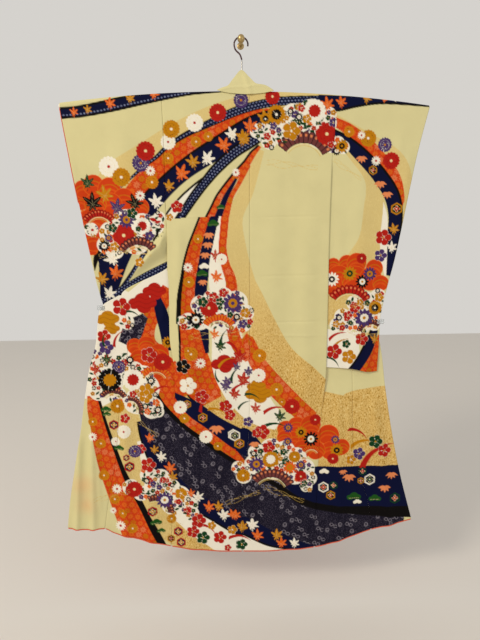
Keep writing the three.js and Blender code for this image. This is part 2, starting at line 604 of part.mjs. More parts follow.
// ---------------------------------------------------------------- clips
// A clear clip pinches each sleeve's edge, and its foot goes to the wall.
const CLIP = { high: 16, jaw: 2, bite: 12, back: 14, foot: 6 };
function clip(x, z, side, slotIn, slotOut) {
  const toward = side === 'left' ? 1 : -1;
  const shape = new THREE.Shape([
    [CLIP.bite, slotOut], [CLIP.bite, slotOut + CLIP.jaw], [-CLIP.back, slotOut + CLIP.jaw],
    [-CLIP.back, 0], [-CLIP.back + CLIP.foot, 0], [-CLIP.back + CLIP.foot, slotIn - CLIP.jaw],
    [CLIP.bite, slotIn - CLIP.jaw], [CLIP.bite, slotIn], [-3, slotIn], [-3, slotOut],
  ].map(([dx, out]) => new THREE.Vector2(x + toward * dx, -out)));
  const geometry = new THREE.ExtrudeGeometry(shape, { depth: CLIP.high, bevelEnabled: false });
  return geometry.translate(0, 0, z - CLIP.high / 2);
}
const CLIPS = {
  left: { x: -510, z: -897, slotIn: 7.85, slotOut: 17.75 },
  right: { x: 503.5, z: -962, slotIn: 15.7, slotOut: 21.4 },
};
for (const [side, { x, z, slotIn, slotOut }] of Object.entries(CLIPS)) {
  add(`clip_${side}`, clip(x, z, side, slotIn, slotOut), COLOURS.clear, 0.2);
}

export default kimono;
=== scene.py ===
"""Looks of a long-sleeved formal kimono that hangs flat from a bar hanger on a brass wall hook.

Lengths are millimetres until a mesh is written, which turns them into metres. x runs to the right, z up,
and out is the distance off the wall, so y = -out. The origin is the middle of the wall hook's plate.
Each cloth piece is a closed thin shell whose face is a grid worked out from its edges and from how far the
cloth hangs off the wall. The dyed pattern is worked out once for all points and kept in colour attributes.
"""

import bmesh
import bpy
import numpy as np
from mathutils import Matrix, Vector


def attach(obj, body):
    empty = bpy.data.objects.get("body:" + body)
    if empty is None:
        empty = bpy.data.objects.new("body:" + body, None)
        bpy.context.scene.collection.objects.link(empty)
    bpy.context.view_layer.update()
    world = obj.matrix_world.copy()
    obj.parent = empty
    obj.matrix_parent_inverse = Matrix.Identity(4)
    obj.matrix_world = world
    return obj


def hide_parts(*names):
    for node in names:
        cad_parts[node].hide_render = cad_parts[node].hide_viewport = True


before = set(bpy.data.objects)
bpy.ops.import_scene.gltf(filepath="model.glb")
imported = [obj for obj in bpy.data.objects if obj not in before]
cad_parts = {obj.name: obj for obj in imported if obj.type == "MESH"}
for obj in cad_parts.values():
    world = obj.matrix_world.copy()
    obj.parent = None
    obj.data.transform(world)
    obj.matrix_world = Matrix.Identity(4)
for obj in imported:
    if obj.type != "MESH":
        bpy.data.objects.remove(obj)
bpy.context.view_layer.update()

# ------------------------------------------------------------------ sizes, as in the solids
MM = 0.001
BAR_RADIUS, SEAM_GAP, SOLID_CLOTH = 9.0, 0.3, 1.6
WRAP = BAR_RADIUS + SEAM_GAP + SOLID_CLOTH   # outer radius of the cloth over the bar
BAR_OUT, HEM_OUT = 28.0, 12.0
SHOULDER_Z, SHOULDER_DROOP = -158.0, 1.05e-4
BODY_LENGTH, WRAP_FADE = 1687.0, 450.0
BACK_LIFT, SLEEVE_PLY, TUCK, UNDERLAP = 4.0, 3.0, 8.5, 12.0
FRONT_UNDER = {"left": 4.0, "right": 6.0}
RIPPLE, FRONT_RIPPLE = 0.8, 0.7              # height of the silk's slight unevenness
BACK_NEARER = 0.4                            # the backs lie this much nearer to the room
BACK_MIDDLE = 24.0
NECK = (-82.0, 109.0)
CLOTH = 1.0                                  # the drawn shell, inside the solid's 1.6
FACE_STEP, HIDDEN_STEP = 2.65, 6.0           # grid spacing where the pattern shows, and where it hardly does
LINING_STEP = 8                              # grids have a multiple of this many cells each way
FOLD_FREE, FOLD_EASE = 2, 30                 # a sleeve is flat this near its seam, and folds fully so far on
MIDDLE_Z, LOW_Z, HIGH_Z = -900.0, -1650.0, -300.0   # heights at which a panel's width is taken
WIDEST_CUT = 360                             # a panel's columns are counted for this width at most
ROUNDS = 7                                   # rounds in which a grid's x and z come to agree

EDGES = {
    "centre_back": [(-158, 28), (-610, 26), (-1276, 20), (-1660, -7), (-1850, -11)],
    "back_left": [(-158, -273), (-340, -270), (-552, -270.5), (-625, -267), (-757, -269), (-828, -266),
                  (-1000, -268), (-1140, -254), (-1263, -255), (-1426, -265), (-1619, -274), (-1850, -286)],
    "back_right": [(-158, 323), (-287, 325), (-391, 317), (-611, 311), (-1136, 305), (-1310, 291),
                   (-1686, 272), (-1850, 268)],
    "cuff_left": [(-190, -616), (-244, -610), (-318, -600), (-452, -580), (-588, -558), (-733, -533),
                  (-864, -509), (-890, -502), (-1000, -488), (-1150, -470)],
    "cuff_right": [(-190, 659), (-285, 637), (-375, 617), (-470, 599), (-602, 575), (-736, 548),
                   (-825, 526), (-911, 509), (-962, 502), (-1017, 501), (-1160, 495)],
    "front_left_outer": [(-158, -268), (-520, -264), (-600, -240), (-725, -240), (-757, -271), (-853, -436),
                         (-980, -415), (-1240, -455), (-1466, -480), (-1621, -513), (-1740, -533)],
    "front_left_inner": [(-158, -84), (-420, -120), (-700, -190), (-900, -228), (-1150, -240)],
    "okumi_left": [(-853, -446), (-887, -503), (-921, -520), (-1020, -533), (-1123, -563), (-1227, -583),
                   (-1366, -606), (-1492, -631), (-1620, -656), (-1740, -672)],
    "front_right_outer": [(-158, 318), (-391, 312), (-760, 322), (-930, 402), (-1100, 404), (-1238, 407),
                          (-1408, 411), (-1702, 481), (-1780, 489)],
    "front_right_inner": [(-158, 111), (-420, 160), (-700, 235), (-900, 272), (-1150, 290)],
    "okumi_right": [(-930, 420), (-990, 490), (-1091, 515), (-1213, 530), (-1322, 547), (-1412, 564),
                    (-1522, 588), (-1740, 647)],
}
LOWER_EDGES = {
    "hem": [(-672, -1727), (-603, -1735), (-535, -1734), (-497, -1752), (-409, -1779), (-319, -1804),
            (-251, -1819), (-91, -1839), (56, -1845), (269, -1836), (385, -1806), (487, -1772),
            (562, -1755), (647, -1734)],
    "sleeve_right": [(285, -1127), (396, -1136), (470, -1149), (496, -1147)],
    "sleeve_left": [(-500, -1135), (-250, -1120)],
}
# Soft folds: x0, z0, x1, z1, rise, half width, and 1 where the fold runs out at its lower end.
FOLDS = {
    "back_left": [(-60, -300, -95, -1830, 4.1, 48, 1), (-185, -820, -205, -1815, 6.8, 34, 1),
                  (-225, -560, -236, -1150, 5.4, 22, 0)],
    "back_right": [(115, -340, 90, -1840, 4.1, 52, 1), (235, -420, 205, -1835, 5.4, 36, 1)],
    "front_left": [(-345, -905, -360, -1790, 8.1, 26, 1), (-440, -1250, -455, -1765, 6.8, 20, 1),
                   (-292, -830, -290, -960, 6.8, 12, 0), (-480, -893, -300, -1040, 6.8, 18, 0)],
    "okumi_left": [(-605, -1330, -636, -1732, 8.1, 13, 1), (-560, -1300, -575, -1735, 9.5, 15, 1)],
    "front_right": [(352, -1170, 362, -1815, 6.8, 24, 1)],
    "okumi_right": [(470, -1170, 560, -1752, 6.8, 22, 1)],
    "sleeve_left": [(-598, -330, -515, -850, 4.1, 16, 0), (-488, -845, -330, -520, 6.8, 20, 0),
                    (-400, -230, -440, -640, 5.4, 46, 0)],
    "sleeve_right": [(430, -260, 415, -1138, 5.4, 40, 1), (600, -300, 516, -930, 5.4, 22, 0),
                     (492, -965, 360, -800, 5.4, 18, 0), (488, -968, 452, -1140, 5.4, 14, 1)],
}
# Creases from years folded flat, and small pulls: x0, z0, x1, z1, rise (below 0 is a dent), half width.
CREASES = {
    "back_left": [(-268, -583, 20, -571, 0.8, 4), (-262, -959, 15, -962, -1.2, 3),
                  (-262, -1010, 15, -1006, 0.9, 4), (-250, -790, 10, -788, -0.8, 4),
                  (-262, -1330, 0, -1345, -0.9, 4), (-150, -200, -170, -560, 1.2, 22),
                  (-30, -700, -60, -1300, 1, 26), (-240, -1200, -150, -1790, 1.8, 20)],
    "back_right": [(35, -583, 305, -579, -0.9, 3.5), (30, -959, 300, -956, -1.3, 3),
                   (30, -1006, 300, -1009, 1.2, 4), (35, -790, 300, -788, -0.9, 4),
                   (20, -1345, 285, -1338, -0.9, 4), (170, -220, 180, -600, 1.2, 24),
                   (60, -620, 40, -1250, 0.9, 26), (150, -1200, 130, -1830, 2, 22),
                   (260, -1250, 262, -1820, 2.1, 14)],
    "front_left": [(-400, -960, -420, -1240, 2.9, 14), (-330, -1060, -300, -1330, 2.3, 16),
                   (-470, -1330, -500, -1700, 2.1, 12), (-300, -1250, -320, -1700, 2.1, 14)],
    "okumi_left": [(-520, -960, -560, -1240, 2.6, 11), (-478, -920, -500, -1180, 2.3, 12),
                   (-545, -1300, -545, -1700, 2.3, 9), (-625, -1450, -655, -1700, 1.8, 8)],
    "front_right": [(385, -1180, 410, -1740, 2.9, 12), (320, -1190, 318, -1780, 1.8, 14)],
    "okumi_right": [(510, -1080, 610, -1700, 2.6, 12), (440, -1180, 470, -1500, 1.8, 12)],
    "sleeve_left": [(-560, -420, -530, -700, 2.1, 14), (-350, -420, -440, -690, 3.1, 16),
                    (-300, -560, -420, -760, 3.4, 12), (-590, -215, -290, -200, 0.8, 6)],
    "sleeve_right": [(560, -260, 540, -640, 2.1, 18), (350, -520, 352, -1100, 1.8, 20),
                     (492, -962, 400, -900, 3.1, 9), (492, -966, 420, -1010, 2.6, 8),
                     (540, -700, 500, -930, 2.3, 9)],
}
DRAW_ROLL = dict(line=(-462, -872, -248, -622), rise=19, before=15, after=58, after_at_clip=12,
                 starts=(-0.05, 0.35), ends=(1.14, 0.3), clear_of_back=(-267, 24))
TUCK_LINE = dict(line=(-503, -887, -271, -755), lead=20, inner_lead=60, ease=60)
# Where the cloth goes from one state to the next on its way down: a height, and the length it takes.
CHANGE = {"unsewn_left": (-540, 80), "unsewn_right": (-370, 80), "underlaps_left": (-610, 60),
          "underlaps_right": (-440, 60), "tucks": (-600, 80), "front_folds": (-840, 60),
          "front_level": (-1150, 150), "front_seam": (-1150, 80)}


# ------------------------------------------------------------------ curves and how the cloth hangs
def mix(a, b, t):
    """a to b by the share t."""
    return a + (b - a) * t


def ease(t):
    """0 to 1 with flat ends: t squared times (3 - 2t)."""
    t = np.clip(t, 0, 1)
    return t * t * (3 - 2 * t)


def past(change, z):
    """0 above a change of state and 1 below it, eased over its length."""
    top, over = CHANGE[change]
    return ease((top - z) / over)


def through(rows):
    """A smooth curve through a table that never overshoots it: cubic pieces, whose slope at a row is the
    harmonic mean of the slopes on both sides of it, or 0 where the table turns."""
    at, to = (np.array(column, float) for column in zip(*sorted(rows)))
    slope = np.diff(to) / np.diff(at)
    before, after = slope[:-1], slope[1:]
    same = before * after > 0
    inner = np.where(same, 2 * before * after / np.where(same, before + after, 1), 0)
    tangent = np.concatenate([slope[:1], inner, slope[-1:]])

    def curve(x):
        q = np.clip(x, at[0], at[-1])
        i = np.clip(np.searchsorted(at, q) - 1, 0, len(slope) - 1)
        h = at[i + 1] - at[i]
        t = (q - at[i]) / h
        return (to[i] * (1 + 2 * t) * (1 - t) ** 2 + to[i + 1] * t * t * (3 - 2 * t)
                + h * tangent[i] * t * (1 - t) ** 2 - h * tangent[i + 1] * t * t * (1 - t))
    return curve


EDGE = {name: through(rows) for name, rows in EDGES.items()}
LOWER = {name: through(rows) for name, rows in LOWER_EDGES.items()}


def along(line, x, z):
    """(t from 0 to 1 along a line, distance to its right side, its length)."""
    x0, z0, x1, z1 = line[:4]
    dx, dz = x1 - x0, z1 - z0
    length = np.hypot(dx, dz)
    return (((x - x0) * dx + (z - z0) * dz) / length ** 2, ((x - x0) * dz - (z - z0) * dx) / length, length)


def ridges(rows, x, z):
    """Sum of bell-shaped ridges along lines: rise times exp(-(distance / half width) squared), faded in over
    the first quarter of the line and, unless it runs out, out over the last quarter."""
    total = np.zeros(np.broadcast(x, z).shape)
    for row in rows:
        t, side, length = along(row, x, z)
        away = np.hypot(side, np.maximum(0, np.maximum(-t, t - 1)) * length)
        runs_out = len(row) > 6 and row[6]
        fade = ease(t / 0.25) * (1 if runs_out else ease((1 - t) / 0.25))
        total += row[4] * np.exp(-(away / row[5]) ** 2) * fade
    return total


def bar_axis(x):
    """Height of the bar's middle, which droops by the square of x."""
    return SHOULDER_Z - SHOULDER_DROOP * x * x - WRAP


def plane(x, z):
    """How far off the wall the flat cloth hangs: evenly from the bar down to the hem."""
    return mix(BAR_OUT, HEM_OUT, (bar_axis(x) - z) / BODY_LENGTH)


def below(x, z):
    """1 at the bar and 0 from WRAP_FADE below it, falling as a parabola."""
    return (1 - np.clip((bar_axis(x) - z) / WRAP_FADE, 0, 1)) ** 2


def ripple(x, z, size):
    """Slight unevenness of hanging silk: three crossing sine waves of unlike lengths, size millimetres high
    in all, from 20 mm below the bar on."""
    return size * (np.sin(x / 37 + z / 410) * 0.5 + np.sin(x / 23 - z / 260 + 1.7) * 0.3
                   + np.sin(x / 71 + z / 130 + 0.6) * 0.2) * ease((bar_axis(x) - z - 20) / 160)


def seam_dip(from_seam, z):
    """The cloth turns in 0.9 mm at a seam: 0.9 times exp(-(distance / 2.4) squared), from below the bar."""
    return 0.9 * np.exp(-(from_seam / 2.4) ** 2) * ease((bar_axis(0) - z - 8) / 20)


def back_out(name, x, z):
    """A back: the plane, the way over the bar, a lift where it lies on a sleeve, seams, folds and ripple."""
    side = "left" if name.endswith("left") else "right"
    over_sleeve = past("unsewn_" + side, z) * (1 - past("front_level", z))
    near_edge = ease((np.abs(x - BACK_MIDDLE) - 120) / 120)
    return (plane(x, z) + WRAP * below(x, z) + BACK_LIFT * over_sleeve * near_edge
            - seam_dip(x - EDGE["centre_back"](z), z) - seam_dip(x - EDGE["back_" + side](z), z)
            + ridges(FOLDS[name] + CREASES[name], x, z) + ripple(x, z, RIPPLE) + BACK_NEARER)


def wall_side_out(under, x, z):
    """The plane's wall side, under mm behind it below the bar."""
    return plane(x, z) - mix(under, WRAP - SOLID_CLOTH, below(x, z))


def front_out(side, name, x, z):
    """A front: the wall side down to its change of level, then the plane, with its own folds."""
    under = FRONT_UNDER[side] * (1 - past("front_level", z))
    folds = ridges(FOLDS.get(name, []) + CREASES.get(name, []), x, z)
    folds = folds - seam_dip(x - EDGE[f"front_{side}_outer"](z), z) * (name != "")
    return wall_side_out(under, x, z) + (folds + ripple(x, z, FRONT_RIPPLE)) * past("front_folds", z)


def draw_roll(x, z):
    """The roll that the cloth makes between the clip and the body: a bell-shaped ridge that widens on its
    lower side from the clip upwards."""
    t, side, _ = along(DRAW_ROLL["line"], x, z)
    lower = mix(DRAW_ROLL["after_at_clip"], DRAW_ROLL["after"], np.clip(t, 0, 1))
    wide = np.where(side < 0, DRAW_ROLL["before"], lower)
    (t0, over0), (t1, over1) = DRAW_ROLL["starts"], DRAW_ROLL["ends"]
    x_clear, over_clear = DRAW_ROLL["clear_of_back"]
    fade = ease((t - t0) / over0) * ease((t1 - t) / over1) * ease((x_clear - x) / over_clear)
    return DRAW_ROLL["rise"] * np.exp(-(side / wide) ** 2) * fade


def tucked(x, z, lead):
    """Share by which the left sleeve is drawn in: 1 from lead mm above the tuck line down, 0 far above it."""
    _, side, _ = along(TUCK_LINE["line"], x, z)
    return (1 - ease((-side - lead) / TUCK_LINE["ease"])) * past("tucks", z)


def sleeve_out(side, x, z):
    """A sleeve's outer layer: the plane over the bar with folds; the left one rolls and is drawn in."""
    flat = plane(x, z) + WRAP * below(x, z)
    from_seam = EDGE["back_left"](z) - x if side == "left" else x - EDGE["back_right"](z)
    name = "sleeve_" + side
    free = ease((from_seam - FOLD_FREE) / FOLD_EASE)
    folds = (ridges(FOLDS[name] + CREASES[name], x, z) + ripple(x, z, RIPPLE)) * free
    if side == "right":
        return flat + folds
    return mix(flat + folds + draw_roll(x, z), flat - TUCK, tucked(x, z, TUCK_LINE["lead"]))


def sleeve_inner_out(side, x, z):
    """A sleeve's inner layer: the wall side, drawn in with the outer one on the left."""
    flat = wall_side_out(SLEEVE_PLY, x, z)
    return flat - TUCK * tucked(x, z, TUCK_LINE["inner_lead"]) if side == "left" else flat


# ------------------------------------------------------------------ meshes
def normals_of(points):
    """Unit normals of a grid of points: the cross product of its two grid directions."""
    n = np.cross(np.gradient(points, axis=1), np.gradient(points, axis=0))
    return n / np.maximum(np.linalg.norm(n, axis=2, keepdims=True), 1e-9)


def new_object(name, points, faces, material, smooth=True):
    """A mesh object from points in millimetres (x, out, z) and a list of faces."""
    mesh = bpy.data.meshes.new(name)
    places = np.stack([points[:, 0], -points[:, 1], points[:, 2]], axis=1) * MM
    loops, starts, at = [], [], 0
    for block in faces:
        if isinstance(block, np.ndarray):
            loops.append(block.ravel())
            starts.append(at + np.arange(len(block)) * block.shape[1])
            at += block.size
        else:
            loops.append(np.array(block))
            starts.append(np.array([at]))
            at += len(block)
    loops, starts = np.concatenate(loops), np.concatenate(starts)
    mesh.vertices.add(len(places))
    mesh.vertices.foreach_set("co", places.ravel())
    mesh.loops.add(len(loops))
    mesh.loops.foreach_set("vertex_index", loops)
    mesh.polygons.add(len(starts))
    mesh.polygons.foreach_set("loop_start", starts)
    mesh.update(calc_edges=True)
    mesh.validate()
    mesh.polygons.foreach_set("use_smooth", np.full(len(mesh.polygons), smooth))
    obj = bpy.data.objects.new(name, mesh)
    bpy.context.scene.collection.objects.link(obj)
    for m in material if isinstance(material, list) else [material]:
        mesh.materials.append(m)
    return obj


def shell(points, thick, step):
    """Closes a grid of face points (rows, columns, 3) into a thin shell. The lining side is the face moved
    back along its normals; it keeps every grid point on its rim, but only every step-th one inside.
    Returns (all points, faces, number of faces on the face side and rim, kept grid points)."""
    rows, columns = points.shape[0] - 1, points.shape[1] - 1
    face = np.arange(points.shape[0] * points.shape[1]).reshape(points.shape[:2])
    rear_points = points - normals_of(points) * thick
    keep = np.zeros(points.shape[:2], bool)
    keep[::step, ::step] = True
    keep[[0, -1]] = True
    keep[:, [0, -1]] = True
    rear = np.full(points.shape[:2], -1)
    rear[keep] = face.size + np.arange(keep.sum())
    quads = np.stack([face[:-1, :-1], face[1:, :-1], face[1:, 1:], face[:-1, 1:]], axis=-1).reshape(-1, 4)
    ring = np.concatenate([[(j, 0) for j in range(rows)], [(rows, i) for i in range(columns)],
                           [(j, columns) for j in range(rows, 0, -1)],
                           [(0, i) for i in range(columns, 0, -1)]])
    a, b = ring, np.roll(ring, -1, axis=0)
    rim = np.stack([face[b[:, 0], b[:, 1]], face[a[:, 0], a[:, 1]], rear[a[:, 0], a[:, 1]],
                    rear[b[:, 0], b[:, 1]]], axis=1)
    backs = []
    for j0 in range(0, rows, step):
        for i0 in range(0, columns, step):
            j1, i1 = j0 + step, i0 + step
            left = range(j0, j1) if i0 == 0 else (j0,)
            foot = range(i0, i1) if j1 == rows else (i0,)
            right = range(j1, j0, -1) if i1 == columns else (j1,)
            top = range(i1, i0, -1) if j0 == 0 else (i1,)
            loop = ([rear[j, i0] for j in left] + [rear[j1, i] for i in foot]
                    + [rear[j, i1] for j in right] + [rear[j0, i] for i in top])
            backs.append(loop[::-1])
    all_points = np.concatenate([points.reshape(-1, 3), rear_points[keep]])
    return all_points, [quads, rim] + backs, len(quads) + len(rim), keep


def rounded(count, step):
    """The nearest multiple of the lining step to a count of grid cells."""
    return max(1, int(round(count / step))) * step


WRAP_CELLS = 8          # grid rows over the bar
WRAP_START = 0.03       # radians off the bar's top, so that the two halves stay apart


def panel_grid(left, right, out, bottom, top=None, layer=1, radius=None, spacing=FACE_STEP, scoop=None):
    """Face points of a hanging panel. Across, x runs evenly from the left to the right edge at the row's
    height. Down, rows are even from the bar (or the level top) to the lower edge; over the bar the cloth
    turns a quarter round it. layer is +1 on the room's side of the bar and -1 on the wall's side."""
    # With a level top it is measured halfway down to z -1700, and 60 mm below the top.
    middle, high = (MIDDLE_Z, HIGH_Z) if top is None else ((top - 1700) / 2, top - 60.0)
    wide = max(abs(right(z) - left(z)) for z in (middle, LOW_Z, high))
    start = bar_axis(0.0) if top is None else top
    columns = rounded(min(wide, WIDEST_CUT) / spacing, LINING_STEP)
    x_middle = (left(middle) + right(middle)) / 2
    rows = rounded((start - float(bottom(x_middle))) / spacing, LINING_STEP)
    u = np.linspace(0, 1, columns + 1)[None, :]
    v = np.linspace(0, 1, rows + 1)[:, None]
    z = np.broadcast_to(mix(start, bottom(x_middle), v), (rows + 1, columns + 1)).copy()
    for _ in range(ROUNDS):
        x = mix(left(z), right(z), u)
        head = bar_axis(x) if top is None else top
        z = mix(head, bottom(x), v)
    grid = np.stack([x, out(x, z), z], axis=-1)
    if top is not None:
        return grid
    radius = radius or (WRAP if layer > 0 else WRAP - SOLID_CLOTH)
    xs = grid[0, :, 0]
    lift = scoop(xs) if scoop else 0 * xs
    turn = np.linspace(0, 1, WRAP_CELLS + 1)[:-1, None]
    angle = mix(WRAP_START + lift[None, :], np.pi / 2, turn)
    over = np.stack([np.broadcast_to(xs, angle.shape), BAR_OUT + layer * radius * np.sin(angle),
                     bar_axis(xs)[None, :] + radius * np.cos(angle)], axis=-1)
    return np.concatenate([over, grid])


def tube(name, path, radius, sides, material, steps=90, reference=(0.0, 1.0, 0.0)):
    """A round tube along a smooth path (Catmull-Rom through the path's points), with rounded ends: rings at
    right angles to the path, whose radius falls to 0 over the last radius as a circle does."""
    line, run = smooth_path(np.array(path, float), steps)
    side = np.cross(run, reference)
    side /= np.linalg.norm(side, axis=1, keepdims=True)
    up = np.cross(side, run)
    radii = np.full(len(line), radius)
    cap = radius * np.array([0.0, 0.45, 0.75, 0.93])
    slide = radius * (1 - np.sqrt(1 - (cap / radius) ** 2))
    line = np.concatenate([line[:1] + run[:1] * (slide[:, None]), line[1:-1],
                           line[-1:] - run[-1:] * (slide[::-1, None])])
    pad = lambda a: np.concatenate([np.repeat(a[:1], 4, 0), a[1:-1], np.repeat(a[-1:], 4, 0)])
    side, up = pad(side), pad(up)
    radii = np.concatenate([cap, radii[1:-1], cap[::-1]])
    angle = np.linspace(0, 2 * np.pi, sides, endpoint=False)
    rings = (line[:, None] + radii[:, None, None] * (np.cos(angle)[None, :, None] * side[:, None]
             + np.sin(angle)[None, :, None] * up[:, None]))
    return closed_rings(name, rings, material)


def closed_rings(name, rings, material):
    """Joins rings of points into a closed tube; an end ring that is a single point is merged to a pole."""
    count, sides = rings.shape[:2]
    points = np.concatenate([rings[:1, 0], rings[1:-1].reshape(-1, 3), rings[-1:, 0]])
    index = 1 + np.arange((count - 2) * sides).reshape(count - 2, sides)
    ahead = np.roll(index, -1, axis=1)
    quads = np.stack([index[:-1], ahead[:-1], ahead[1:], index[1:]], axis=-1).reshape(-1, 4)
    last = len(points) - 1
    first_fan = np.stack([np.zeros(sides, int), ahead[0], index[0]], axis=1)
    last_fan = np.stack([np.full(sides, last), index[-1], ahead[-1]], axis=1)
    obj = new_object(name, points, [quads, first_fan, last_fan], material)
    face_outwards(obj)
    return obj


def join(obj, others):
    """Adds the meshes of other objects to obj's and removes them."""
    mesh = bmesh.new()
    for part in [obj] + others:
        mesh.from_mesh(part.data)
    mesh.to_mesh(obj.data)
    mesh.free()
    for part in others:
        bpy.data.objects.remove(part)


def face_outwards(obj):
    """Turns a closed mesh right way out if its signed volume is negative."""
    mesh = obj.data
    mesh.calc_loop_triangles()
    tris = np.empty(len(mesh.loop_triangles) * 3, int)
    mesh.loop_triangles.foreach_get("vertices", tris)
    co = np.empty(len(mesh.vertices) * 3)
    mesh.vertices.foreach_get("co", co)
    a, b, c = co.reshape(-1, 3)[tris.reshape(-1, 3)].transpose(1, 0, 2)
    if (a * np.cross(b, c)).sum() < 0:
        mesh.flip_normals()


def smooth_path(points, steps):
    """(points, unit directions) evenly spaced by parameter on the Catmull-Rom curve through points."""
    ends = np.concatenate([2 * points[:1] - points[1:2], points, 2 * points[-1:] - points[-2:-1]])
    s = np.linspace(0, len(points) - 1, steps + 1)
    i = np.minimum(s.astype(int), len(points) - 2)
    t = (s - i)[:, None]
    a, b, c, d = (ends[i + k] for k in range(4))
    square, cube = 2 * a - 5 * b + 4 * c - d, 3 * b - a - 3 * c + d
    line = 0.5 * (2 * b + (c - a) * t + square * t ** 2 + cube * t ** 3)
    run = 0.5 * ((c - a) + 2 * square * t + 3 * cube * t ** 2)
    return line, run / np.maximum(np.linalg.norm(run, axis=1, keepdims=True), 1e-9)


# ------------------------------------------------------------------ colours and materials
def srgb(code):
    """A hex colour as linear RGBA: ((c + 0.055) / 1.055) to the power 2.4 above 0.04045, else c / 12.92."""
    c = np.array([int(code[i:i + 2], 16) for i in (1, 3, 5)]) / 255
    linear_c = np.where(c > 0.04045, ((c + 0.055) / 1.055) ** 2.4, c / 12.92)
    return (*linear_c.tolist(), 1.0)


def add_node(tree, kind, inputs=None, **settings):
    """Adds a shader node, sets its properties, and gives each named input a value or a link from a socket."""
    made = tree.nodes.new("ShaderNode" + kind)
    for key, value in settings.items():
        setattr(made, key, value)
    for key, value in (inputs or {}).items():
        if isinstance(value, bpy.types.NodeSocket):
            tree.links.new(value, made.inputs[key])
        else:
            made.inputs[key].default_value = value
    return made


def new_material(name, colour, roughness, **values):
    """A material with one Principled shader. Returns (material, node tree, shader)."""
    material = bpy.data.materials.new(name)
    material.use_nodes = True
    tree = material.node_tree
    shader = tree.nodes["Principled BSDF"]
    shader.inputs["Base Color"].default_value = srgb(colour)
    shader.inputs["Roughness"].default_value = roughness
    for key, value in values.items():
        shader.inputs[key.replace("_", " ")].default_value = value
    return material, tree, shader


def rough_and_bumpy(tree, shader, scale, low, high, height):
    """Noise of a given scale (per metre) that moves roughness between low and high and raises a bump of
    height metres."""
    place = add_node(tree, "TexCoord").outputs["Object"]
    noise = add_node(tree, "TexNoise", {"Vector": place, "Scale": scale, "Detail": 3.0}).outputs["Fac"]
    rough = add_node(tree, "MapRange", {"Value": noise, "To Min": low, "To Max": high}).outputs["Result"]
    tree.links.new(rough, shader.inputs["Roughness"])
    bump = add_node(tree, "Bump", {"Height": noise, "Distance": height, "Strength": 1.0}).outputs["Normal"]
    tree.links.new(bump, shader.inputs["Normal"])
    return place


